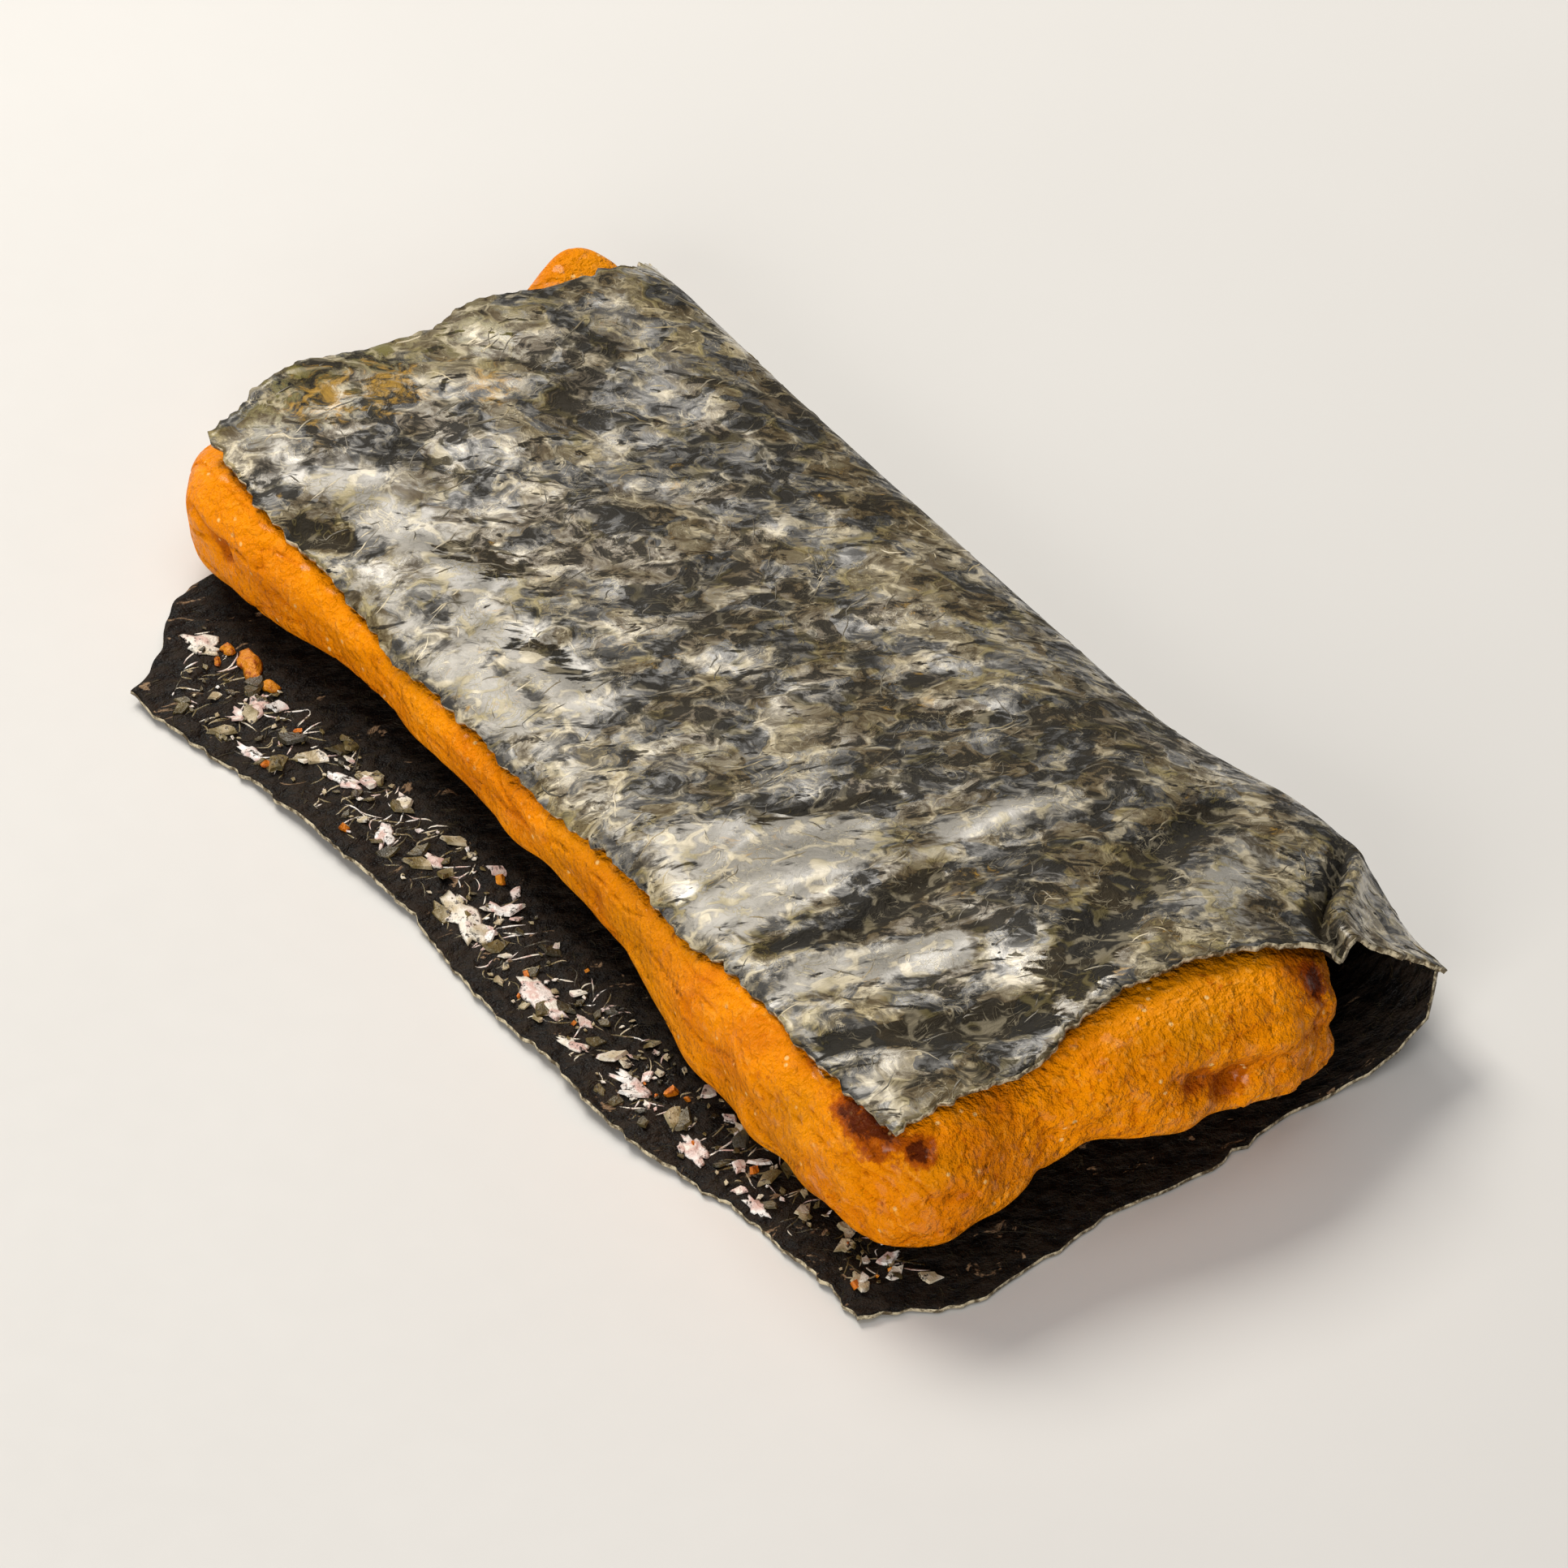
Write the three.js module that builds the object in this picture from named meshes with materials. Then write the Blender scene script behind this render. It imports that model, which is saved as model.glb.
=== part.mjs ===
import * as THREE from 'three';

// One rice cracker held in a folded sheet of nori. Millimetres, Z up. X runs along
// the cracker with its front end at +X, the open long side at -Y, the fold at +Y.

// Cracker slab
const SLAB_BACK = -38.2;
const SLAB_FRONT = 31;
const SLAB_WIDTH = 29;
const SLAB_SHIFT = 0.6;      // its middle line stands this far toward +Y
const BLOCK_HEIGHT = 9;      // height of the plain block before it is shaped
const CORNER_RADIUS = 5;     // corners seen from above
const RIM_RADIUS = 3.2;      // rounding from the flat faces into the sides
const UNDERSIDE = 0.8;       // lowest level of the crust above the rest plane
const TOP_LEVEL = 6.8;
const CROWN = 0.4;           // fall of the top toward both long sides

// Swellings and hollows of the slab: places along X, or along Y where it says so.
const THIN_MIDDLE = { start: -32, full: -18, fading: 4, end: 14 };
const WAIST = 1.5;           // the thin middle is drawn in on the open side
const ARCH = { height: 1.3, least: 0.35, yStart: 4, yFull: -12 };
const TAPER = { depth: 1.4, start: -12, full: 29 };
const FRONT_RISE = { height: 2.5, start: -16, full: 24 };
const BACK_RISE = { height: 0.8, centre: -33, width: 7 };
const FRONT_DOME = { height: 1, start: 10, full: 26, yCentre: 3.5, yWidth: 5.5 };
const FRONT_LIFT = { height: 2.9, start: 18, full: 30, yCentre: -0.5, yWidth: 9 };
const FRONT_HOLLOW = { depth: 1.3, start: 22, full: 31, yCentre: -5, yWidth: 4.5 };
const KNOB = {
  width: 3.3, place: new THREE.Vector3(-38.3, 12.5, 6.6), push: new THREE.Vector3(-2.7, 0.8, 2.4),
};
const LUMPS = { height: 0.2, length: 7, seed: 1 };
const GRAIN = { height: 0.11, length: 3.4, seed: 5 };
const COVERED_RELIEF = 0.2;  // share of the relief that is left under the nori

// Nori sheet
const THICKNESS = 0.4;
const GAP = 0.4;             // free space between sheet and crust
const SHEET_BACK = -37.2;
const SHEET_FRONT = 28.4;
const TOP_EDGE = { y: -12.3, inset: 0.3, start: 12, full: 2 };
const LOWER_EDGE = { y: -18.3, spread: 3.2, spreadStart: -12, spreadFull: -38 };
const LOWER_TUCK = { depth: 3, start: 4, full: 24 };
const SKEW = { slide: 4.2, power: 1.3 };   // the lower flap lies further forward
const SINK = 0.65;           // how closely the upper flap follows the slab's rim
const NOSE = { y: 17.9, slant: 0.045, level: 4.3, flare: 1.7, start: 5, full: 17 };
const SHOULDER_INSET = 1.4;  // the upper flap leaves the crust this far inside its side
const SHOULDER_SLOPE = -0.38;
const TUCK_LINE = { y: 11.6, slant: -0.0215, bend: 0.0003 };
const ROOMY = { start: 10, full: 19 };
const PINCHED = { start: 20, full: 27, level: 4.2, drawn: 0.9, over: 0.15, away: 0.4 };
const REACH = { over: 2.1, overRoomy: 3.6, away: 1.6, awayRoomy: 4.4, under: 1.9, underPinched: 1.2 };
// The crease runs down the fold; its places are shares of the way round the fold.
const CREASE = { depth: 0.85, width: 0.034, from: 0.38, to: 0.095, start: 18, full: 28, deep: 23 };
const RIDGE = { height: 0.7, width: 0.04, beyond: 0.065 };
const CREASE_ROW = 4;        // the row of the fold's cells that follows the crease
const LIP = { height: 0.9, centre: -37.2, width: 1.7, yStart: 1, yFull: -8 };
const CURL = { height: 0.35, swing: 0.25, pitch: 21, yStart: -13, yFull: -20 };
const WAVE = { height: 0.1, length: 9, seed: 3 };
const EDGE_WANDER = { across: 0.15, pitch: 13, along: 0.3, turnPerRow: 0.89 };
const CORNER_TRIM = { topBack: 1.2, lowerBack: 4.5, lowerFront: 2, rows: 3 };
const BACK_NOTCH = { depth: 1.2, width: 3 };
const FRONT_NOTCH = { depth: 1.6, centre: 0.66, width: 0.2 };

// Mesh density
const SLAB_CELLS = [46, 20, 6];
const SLAB_CROWDING = 0.25;  // share by which its cells grow finer toward both long sides
const SHEET_CELLS = 38;
const CROWDING = 0.35;       // share by which the sheet's cells grow finer toward the front
const FLAP_ROWS = 19;
const FOLD_ROWS = 18;
const TUCK_ROWS = 14;
const SHEET_ROWS = FLAP_ROWS + FOLD_ROWS + TUCK_ROWS;
const TUCK_START = FLAP_ROWS + FOLD_ROWS;
const NOSE_ROW = FLAP_ROWS + FOLD_ROWS / 2;

const WAVES = 9;
const PITCH_SPREAD = 0.3;    // share by which the waves' pitches differ
const GOLDEN_ANGLE = Math.PI * (3 - Math.sqrt(5));

const { clamp, lerp } = THREE.MathUtils;
const bell = (value, centre, width) => Math.exp(-(((value - centre) / width) ** 2));

// Smooth step from 0 at one value to 1 at the other, which may be the lower one.
function ramp(from, to, value) {
  const t = clamp((value - from) / (to - from), 0, 1);
  return t * t * (3 - 2 * t);
}

// A sum of plane waves in well spread directions: a lumpy field of unit strength.
function ripples(point, { length, seed }) {
  let sum = 0;
  for (let wave = 0; wave < WAVES; wave += 1) {
    const turn = GOLDEN_ANGLE * (wave + seed);
    const rise = 1 - (2 * wave + 1) / WAVES;
    const level = Math.sqrt(1 - rise * rise);
    const along = level * (point.x * Math.cos(turn) + point.y * Math.sin(turn)) + rise * point.z;
    const pitch = length * (1 + PITCH_SPREAD * Math.sin(3 * turn));
    sum += Math.sin((2 * Math.PI * along) / pitch + 5 * turn);
  }
  return sum * Math.sqrt(2 / WAVES);
}

// ---- Cracker ----

// 1 along the thin middle of the slab, 0 at its thick ends.
function thin(x) {
  const { start, full, fading, end } = THIN_MIDDLE;
  return ramp(start, full, x) * ramp(end, fading, x);
}

const openSide = (x) => SLAB_SHIFT - SLAB_WIDTH / 2 + WAIST * thin(x);
const foldSide = (x) => SLAB_SHIFT + SLAB_WIDTH / 2 - TAPER.depth * ramp(TAPER.start, TAPER.full, x);

// A swelling that grows along X and has its crest at one Y.
const swelling = (form, x, y) => ramp(form.start, form.full, x) * bell(y, form.yCentre, form.yWidth);

function crustTop(x, y) {
  const front = FRONT_RISE.height * ramp(FRONT_RISE.start, FRONT_RISE.full, x);
  const back = BACK_RISE.height * bell(x, BACK_RISE.centre, BACK_RISE.width);
  const dome = FRONT_DOME.height * swelling(FRONT_DOME, x, y);
  return TOP_LEVEL + front + back + dome - CROWN * (y / (SLAB_WIDTH / 2)) ** 2;
}

function crustBottom(x, y) {
  const arch = ARCH.height * thin(x) * lerp(ARCH.least, 1, ramp(ARCH.yStart, ARCH.yFull, y));
  return UNDERSIDE + arch + FRONT_LIFT.height * swelling(FRONT_LIFT, x, y);
}

// Takes a point on the surface of a square block, each coordinate from -1 to 1,
// to its place on the rounded and waisted slab.
function crustPoint(a, b, c) {
  const half = new THREE.Vector2((SLAB_FRONT - SLAB_BACK) / 2, SLAB_WIDTH / 2);
  const flat = new THREE.Vector2(a * half.x, b * half.y);
  const core = new THREE.Vector2(
    clamp(flat.x, CORNER_RADIUS - half.x, half.x - CORNER_RADIUS),
    clamp(flat.y, CORNER_RADIUS - half.y, half.y - CORNER_RADIUS),
  );
  const reach = flat.clone().sub(core);
  const depth = CORNER_RADIUS - Math.max(Math.abs(reach.x), Math.abs(reach.y));
  const outward = reach.clone().normalize();

  const height = (c * BLOCK_HEIGHT) / 2;
  const straight = BLOCK_HEIGHT / 2 - RIM_RADIUS;
  const level = clamp(height, -straight, straight);
  const rim = new THREE.Vector2(Math.max(RIM_RADIUS - depth, 0), height - level).normalize();
  const inset = Math.max(depth, RIM_RADIUS) - RIM_RADIUS * rim.x;
  const plan = core.addScaledVector(outward, CORNER_RADIUS - inset);
  const share = 0.5 + (level + RIM_RADIUS * rim.y) / BLOCK_HEIGHT;

  const x = plan.x + (SLAB_BACK + SLAB_FRONT) / 2;
  const y = lerp(openSide(x), foldSide(x), 0.5 + plan.y / SLAB_WIDTH);
  const hollow = FRONT_HOLLOW.depth * swelling(FRONT_HOLLOW, x, y);
  const point = new THREE.Vector3(x - hollow, y, lerp(crustBottom(x, y), crustTop(x, y), share));

  const normal = new THREE.Vector3(outward.x * rim.x, outward.y * rim.x, rim.y);
  const relief = LUMPS.height * ripples(point, LUMPS) + GRAIN.height * ripples(point, GRAIN);
  const knob = bell(point.distanceTo(KNOB.place), 0, KNOB.width) * rim.x ** 2;
  point.addScaledVector(normal, relief * lerp(COVERED_RELIEF, 1, rim.x ** 2));
  return point.addScaledVector(KNOB.push, knob);
}

// The six sides of the block as one welded skin of triangles.
function crackerGeometry() {
  const points = [];
  const known = new Map();
  const corner = (cell) => {
    const key = cell.join();
    if (!known.has(key)) {
      const [a, b, c] = cell.map((step, axis) => (2 * step) / SLAB_CELLS[axis] - 1);
      const crowded = b + SLAB_CROWDING * (b - b ** 3);
      points.push(crustPoint(a, crowded, c));
      known.set(key, points.length - 1);
    }
    return known.get(key);
  };
  const faces = [];
  for (let axis = 0; axis < 3; axis += 1) {
    const right = (axis + 1) % 3;
    const up = (axis + 2) % 3;
    for (const end of [0, SLAB_CELLS[axis]]) {
      for (let i = 0; i < SLAB_CELLS[right]; i += 1) {
        for (let j = 0; j < SLAB_CELLS[up]; j += 1) {
          const quad = [[i, j], [i + 1, j], [i + 1, j + 1], [i, j + 1]].map(([across, along]) => {
            const cell = [0, 0, 0];
            cell[axis] = end;
            cell[right] = across;
            cell[up] = along;
            return corner(cell);
          });
          if (end === 0) quad.reverse();
          faces.push(quad[0], quad[1], quad[2], quad[0], quad[2], quad[3]);
        }
      }
    }
  }
  return skin(points, faces);
}

function skin(points, faces) {
  const geometry = new THREE.BufferGeometry().setFromPoints(points);
  geometry.setIndex(faces);
  geometry.computeVertexNormals();
  return geometry;
}

// ---- Nori ----

// Middle level of the upper flap: it lies on the crust and sinks over its rim.
function flapLevel(x, y) {
  const depth = Math.min(y - openSide(x), foldSide(x) - y);
  const overhang = clamp(RIM_RADIUS - depth, 0, RIM_RADIUS);
  const drop = RIM_RADIUS - Math.sqrt(RIM_RADIUS ** 2 - overhang ** 2);
  const squeeze = (crustTop(x, y) - crustBottom(x, y)) / BLOCK_HEIGHT;
  const lip = LIP.height * bell(x, LIP.centre, LIP.width) * ramp(LIP.yStart, LIP.yFull, y);
  return crustTop(x, y) - SINK * drop * squeeze + GAP + THICKNESS / 2 + lip;
}

// A cubic curve through the section's plane, each point a pair of Y and Z.
function curvePoint(points, t) {
  const [a, b, c, d] = points.map(([y, z]) => new THREE.Vector2(y, z));
  return new THREE.CubicBezierCurve(a, b, c, d).getPoint(t);
}

// The line on the rest plane where the sheet turns up into the fold.
const tuckLine = (x) => TUCK_LINE.y + TUCK_LINE.slant * x + TUCK_LINE.bend * x * x;

const wander = (x) => EDGE_WANDER.across * Math.sin((2 * Math.PI * x) / EDGE_WANDER.pitch);

function flapSection(x, share) {
  const edge = TOP_EDGE.y + TOP_EDGE.inset * ramp(TOP_EDGE.start, TOP_EDGE.full, x) + wander(x);
  const y = lerp(edge, foldSide(x) - SHOULDER_INSET, share);
  return new THREE.Vector2(y, flapLevel(x, y));
}

function tuckSection(x, share) {
  const spread = LOWER_EDGE.spread * ramp(LOWER_EDGE.spreadStart, LOWER_EDGE.spreadFull, x);
  const tuck = LOWER_TUCK.depth * ramp(LOWER_TUCK.start, LOWER_TUCK.full, x);
  const y = lerp(tuckLine(x), LOWER_EDGE.y - spread + tuck + wander(x), share);
  const curl = CURL.height + CURL.swing * Math.sin((2 * Math.PI * x) / CURL.pitch);
  return new THREE.Vector2(y, THICKNESS / 2 + curl * ramp(CURL.yStart, CURL.yFull, y));
}

const creaseShare = (x) => lerp(CREASE.from, CREASE.to, ramp(CREASE.start, CREASE.full, x));

// Share of the way round the fold at a share of its rows, drawn to the crease above the nose.
function foldShare(x, turn) {
  if (turn >= 0.5) return turn;
  const knot = CREASE_ROW / FOLD_ROWS;
  const crease = creaseShare(x);
  return turn < knot ? (turn / knot) * crease : lerp(crease, 0.5, (turn - knot) / (0.5 - knot));
}

// The fold turns round its nose. It is tight at the back, wide before the front
// end, and pinched flat at the front, with a crease and a ridge beside the nose.
function foldSection(x, share) {
  const roomy = ramp(ROOMY.start, ROOMY.full, x);
  const pinched = ramp(PINCHED.start, PINCHED.full, x);
  const deep = ramp(CREASE.start, CREASE.deep, x);
  const flare = NOSE.flare * ramp(NOSE.start, NOSE.full, x) - PINCHED.drawn * pinched;
  const nose = NOSE.y + NOSE.slant * x + flare;
  const level = lerp(NOSE.level, PINCHED.level, pinched);
  if (share >= 0.5) {
    const rest = THICKNESS / 2;
    const under = lerp(REACH.under, REACH.underPinched, pinched);
    const lower = [[nose, level], [nose, level - under],
      [nose - REACH.under, rest], [tuckLine(x), rest]];
    return curvePoint(lower, 2 * share - 1);
  }
  const shoulder = foldSide(x) - SHOULDER_INSET;
  const shoulderLevel = flapLevel(x, shoulder);
  const over = lerp(REACH.over, REACH.overRoomy, roomy) * lerp(1, PINCHED.over, pinched);
  const away = lerp(REACH.away, REACH.awayRoomy, roomy) * lerp(1, PINCHED.away, pinched);
  const upper = [[shoulder, shoulderLevel], [shoulder + away, shoulderLevel + SHOULDER_SLOPE * away],
    [nose, level + over], [nose, level]];
  const point = curvePoint(upper, 2 * share);
  const crease = bell(share, creaseShare(x), CREASE.width);
  const ridge = bell(share, creaseShare(x) + RIDGE.beyond, RIDGE.width);
  point.y += deep * (1 - (2 * share) ** 4) * (RIDGE.height * ridge - CREASE.depth * crease);
  return point;
}

// Place on the sheet's middle surface. Along runs from 0 at the back to 1 at the
// front, and the row counts from the upper flap's free edge to the lower one's.
function sheetPoint(along, row) {
  const rough = EDGE_WANDER.along * Math.sin(EDGE_WANDER.turnPerRow * row);
  const lowerTrim = ramp(SHEET_ROWS - CORNER_TRIM.rows, SHEET_ROWS, row);
  const topTrim = CORNER_TRIM.topBack * ramp(CORNER_TRIM.rows, 0, row);
  const backNotch = BACK_NOTCH.depth * bell(row, FLAP_ROWS, BACK_NOTCH.width);
  const frontNotch = FRONT_NOTCH.depth * bell(row / FLAP_ROWS, FRONT_NOTCH.centre, FRONT_NOTCH.width);
  const back = SHEET_BACK + rough + backNotch + topTrim + CORNER_TRIM.lowerBack * lowerTrim;
  const front = SHEET_FRONT - rough - frontNotch - CORNER_TRIM.lowerFront * lowerTrim;
  const x = lerp(back, front, along);
  let section;
  if (row <= FLAP_ROWS) section = flapSection(x, row / FLAP_ROWS);
  else if (row >= TUCK_START) section = tuckSection(x, (row - TUCK_START) / TUCK_ROWS);
  else section = foldSection(x, foldShare(x, (row - FLAP_ROWS) / FOLD_ROWS));
  const lower = clamp((row - NOSE_ROW) / (SHEET_ROWS - NOSE_ROW), 0, 1);
  const slide = SKEW.slide * lower ** SKEW.power;
  return new THREE.Vector3(x + slide, section.x, section.y);
}

// Outward direction of the sheet at one of its points.
function sheetNormal(along, row) {
  const step = 0.5 / SHEET_CELLS;
  const lengthwise = sheetPoint(along + step, row).sub(sheetPoint(along - step, row));
  const ahead = Math.min(row + 1, SHEET_ROWS);
  const behind = Math.max(row - 1, 0);
  const crosswise = sheetPoint(along, ahead).sub(sheetPoint(along, behind));
  return lengthwise.cross(crosswise).normalize();
}

// Both faces of the sheet, split alike, and the cut edge all round.
function noriGeometry() {
  const outer = [];
  const inner = [];
  for (let row = 0; row <= SHEET_ROWS; row += 1) {
    const free = ramp(NOSE_ROW, FLAP_ROWS, row);
    for (let column = 0; column <= SHEET_CELLS; column += 1) {
      const share = column / SHEET_CELLS;
      const along = share * (1 + CROWDING * (1 - share));
      const point = sheetPoint(along, row);
      const normal = sheetNormal(along, row);
      const wave = free * WAVE.height * Math.abs(ripples(point, WAVE));
      point.addScaledVector(normal, wave);
      outer.push(point.clone().addScaledVector(normal, THICKNESS / 2));
      inner.push(point.clone().addScaledVector(normal, -THICKNESS / 2));
    }
  }
  const faces = [];
  const quad = (a, b, c, d) => faces.push(a, b, c, a, c, d);
  const width = SHEET_CELLS + 1;
  const layer = outer.length;
  for (let row = 0; row < SHEET_ROWS; row += 1) {
    for (let column = 0; column < SHEET_CELLS; column += 1) {
      const a = row * width + column;
      quad(a, a + 1, a + width + 1, a + width);
      quad(layer + a, layer + a + width, layer + a + width + 1, layer + a + 1);
    }
    const first = row * width;
    const last = first + SHEET_CELLS;
    quad(first, first + width, layer + first + width, layer + first);
    quad(last, layer + last, layer + last + width, last + width);
  }
  for (let column = 0; column < SHEET_CELLS; column += 1) {
    const last = SHEET_ROWS * width + column;
    quad(column, layer + column, layer + column + 1, column + 1);
    quad(last, last + 1, layer + last + 1, layer + last);
  }
  return skin([...outer, ...inner], faces);
}

const crust = new THREE.MeshStandardMaterial({ color: 0xd88a1c, roughness: 0.45 });
const seaweed = new THREE.MeshStandardMaterial({ color: 0x23261d, roughness: 0.5 });

const cracker = new THREE.Mesh(crackerGeometry(), crust);
cracker.name = 'cracker';
const nori = new THREE.Mesh(noriGeometry(), seaweed);
nori.name = 'nori';

const part = new THREE.Group();
part.add(cracker, nori);

// The part stands on z = 0 with its middle over the origin.
const bounds = new THREE.Box3().setFromObject(part);
const middle = bounds.getCenter(new THREE.Vector3());
for (const mesh of part.children) {
  mesh.geometry.translate(-middle.x, -middle.y, -bounds.min.z);
}

export default part;
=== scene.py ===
import math

import bpy
import numpy as np
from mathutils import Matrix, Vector, noise


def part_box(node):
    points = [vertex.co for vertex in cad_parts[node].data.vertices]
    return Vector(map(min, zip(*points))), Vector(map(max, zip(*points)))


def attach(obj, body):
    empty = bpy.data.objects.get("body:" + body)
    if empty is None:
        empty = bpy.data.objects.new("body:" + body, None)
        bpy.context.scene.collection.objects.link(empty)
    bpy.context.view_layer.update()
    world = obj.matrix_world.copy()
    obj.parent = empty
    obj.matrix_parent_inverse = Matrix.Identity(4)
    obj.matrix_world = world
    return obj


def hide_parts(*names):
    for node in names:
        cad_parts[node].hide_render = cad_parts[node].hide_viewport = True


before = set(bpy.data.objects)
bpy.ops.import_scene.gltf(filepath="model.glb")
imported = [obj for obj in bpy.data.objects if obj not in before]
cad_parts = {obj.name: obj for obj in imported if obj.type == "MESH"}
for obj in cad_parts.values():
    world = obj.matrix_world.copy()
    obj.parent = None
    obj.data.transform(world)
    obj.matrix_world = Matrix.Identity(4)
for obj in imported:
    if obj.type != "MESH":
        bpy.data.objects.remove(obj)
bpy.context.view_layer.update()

# ---- Cracker ----
# One slab of puffed rice dough, baked and brushed with an orange soy glaze. It is thick
# and round at both ends and thin between them, with a knob at the far back corner. It
# lies loose in its sheet. Sizes are in millimetres, as in the part's own source.

MM = 0.001
SLAB_BACK = -38.2
SLAB_FRONT = 31.0
SLAB_WIDTH = 29.0
SLAB_SHIFT = 0.6
BLOCK_HEIGHT = 9.0
CORNER_RADIUS = 5.0
RIM_RADIUS = 3.2
UNDERSIDE = 0.8
TOP_LEVEL = 6.8
CROWN = 0.4
THIN_MIDDLE = {"start": -32, "full": -18, "fading": 4, "end": 14}
WAIST = 1.5
ARCH = {"height": 1.3, "least": 0.35, "y_start": 4, "y_full": -12}
TAPER = {"depth": 1.4, "start": -12, "full": 29}
FRONT_RISE = {"height": 2.5, "start": -16, "full": 24}
BACK_RISE = {"height": 0.8, "centre": -33, "width": 7}
FRONT_DOME = {"height": 1.0, "start": 10, "full": 26, "y_centre": 3.5, "y_width": 5.5}
FRONT_LIFT = {"height": 2.9, "start": 18, "full": 30, "y_centre": -0.5, "y_width": 9}
FRONT_HOLLOW = {"depth": 1.3, "start": 22, "full": 31, "y_centre": -5, "y_width": 4.5}
KNOB = {"width": 3.3, "place": (-38.3, 12.5, 6.6), "push": (-2.7, 0.8, 2.4)}
LUMPS = {"height": 0.2, "length": 7, "seed": 1}
GRAIN = {"height": 0.11, "length": 3.4, "seed": 5}
COVERED_RELIEF = 0.2
WAVES = 9
WAVE_SPREAD = 0.3
GOLDEN_ANGLE = math.pi * (3 - math.sqrt(5))

# The crust's own detail. A shift picks another stretch of the same random field, and a
# level is the height on a grain that lies flush with the crust.
SLAB_CELLS = (236, 112, 42)
CROWDING = 0.25
SWELLS = {"size": 3.4, "height": 0.12}
CRUMBLE = {"size": 1.6, "height": 0.09, "front": 5, "shift": 0}
GRIT = {"size": 0.7, "height": 0.025, "front": 3, "shift": 20}
GRAIN_LEVEL = 0.6
UNEVEN = {"size": 3.5, "mean": 0.5, "swing": 1.3, "most": 2, "shift": 40}
FRONT_END = {"start": 20, "full": 29}
CALM = {"share": 0.55, "start": 22, "full": 14}
SETTLED = {"depth": 0.45, "y_start": -12.6, "y_full": -10.5, "x_start": 27, "x_full": 23}
CLUSTER = {"size": 1.7, "height": 0.85, "place": (30, 9, 5.5), "reach": 5, "level": 0.45,
           "shift": 60}
# Each drip and pit has a place, a reach and a height or depth.
DRIPS = (((30, -6.3, 3.2), 1.6, 0.9), ((30, 2.6, 4), 1.5, 0.9), ((30.2, 6.2, 3.9), 1.0, 0.7))
PITS = (((30.5, 5.6, 5.6), 1.1, 1.2), ((30.5, 3.8, 6.6), 0.8, 0.9), ((29, 11.3, 8), 0.9, 0.7),
        ((24.6, -12.4, 6.2), 0.7, 0.5), ((2, -12.9, 4.9), 0.6, 0.4), ((-31, -13.9, 4.4), 0.6, 0.4))
CRACK = {"depth": 0.22, "width": 0.07, "across": 1.5, "along": 9.0, "shift": 90}


def ramp(start, end, value):
    """0 at start and 1 at end, smooth between them. The end may be the lower one."""
    t = np.clip((value - start) / (end - start), 0, 1)
    return t * t * (3 - 2 * t)


def grown(form, place):
    """How far a form has grown at this place: 0 at its start and 1 where it is full."""
    return ramp(form["start"], form["full"], place)


def bell(value, centre, width):
    """1 at the centre, fading to 0 to both sides."""
    return np.exp(-(((value - centre) / width) ** 2))


def near(places, place, reach):
    """1 at a place, fading to 0 all round it."""
    return bell(np.linalg.norm(places - np.array(place), axis=-1), 0, reach)


def mix(low, high, share):
    return low + (high - low) * share


def unit(vectors):
    """The vectors at length 1, and those of no length left at 0."""
    length = np.linalg.norm(vectors, axis=-1, keepdims=True)
    return vectors / np.where(length > 0, length, 1)


def ripples(points, length, seed):
    """A sum of plane waves in well spread directions: a lumpy field of unit strength."""
    total = 0
    for wave in range(WAVES):
        turn = GOLDEN_ANGLE * (wave + seed)
        rise = 1 - (2 * wave + 1) / WAVES
        level = math.sqrt(1 - rise * rise)
        direction = (level * math.cos(turn), level * math.sin(turn), rise)
        pitch = length * (1 + WAVE_SPREAD * math.sin(3 * turn))
        total = total + np.sin(2 * math.pi / pitch * (points @ np.array(direction)) + 5 * turn)
    return total * math.sqrt(2 / WAVES)


def wisps(points, size):
    """Soft random lumps of this size, from about -1 to 1. The size may differ by axis."""
    return np.array([noise.noise(p) for p in (points / np.array(size)).reshape(-1, 3).tolist()])


def domes(points, size):
    """Round grains of this size packed side by side: 1 on a crest, 0 in the creases."""
    nearest = [noise.voronoi(p)[0][0] for p in (points / size).tolist()]
    return 1 - np.clip(np.array(nearest), 0, 1) ** 2


def thin(x):
    """1 in the thin middle of the slab and 0 at its thick ends."""
    return grown(THIN_MIDDLE, x) * ramp(THIN_MIDDLE["end"], THIN_MIDDLE["fading"], x)


def open_side(x):
    return SLAB_SHIFT - SLAB_WIDTH / 2 + WAIST * thin(x)


def fold_side(x):
    return SLAB_SHIFT + SLAB_WIDTH / 2 - TAPER["depth"] * grown(TAPER, x)


def swelling(form, x, y):
    """The share of a form at the front end, which fades to both sides of its line."""
    return grown(form, x) * bell(y, form["y_centre"], form["y_width"])


def crust_top(x, y):
    front = FRONT_RISE["height"] * grown(FRONT_RISE, x)
    back = BACK_RISE["height"] * bell(x, BACK_RISE["centre"], BACK_RISE["width"])
    dome = FRONT_DOME["height"] * swelling(FRONT_DOME, x, y)
    return TOP_LEVEL + front + back + dome - CROWN * (y / (SLAB_WIDTH / 2)) ** 2


def crust_bottom(x, y):
    across = mix(ARCH["least"], 1, ramp(ARCH["y_start"], ARCH["y_full"], y))
    arch = ARCH["height"] * thin(x) * across
    return UNDERSIDE + arch + FRONT_LIFT["height"] * swelling(FRONT_LIFT, x, y)


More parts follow.
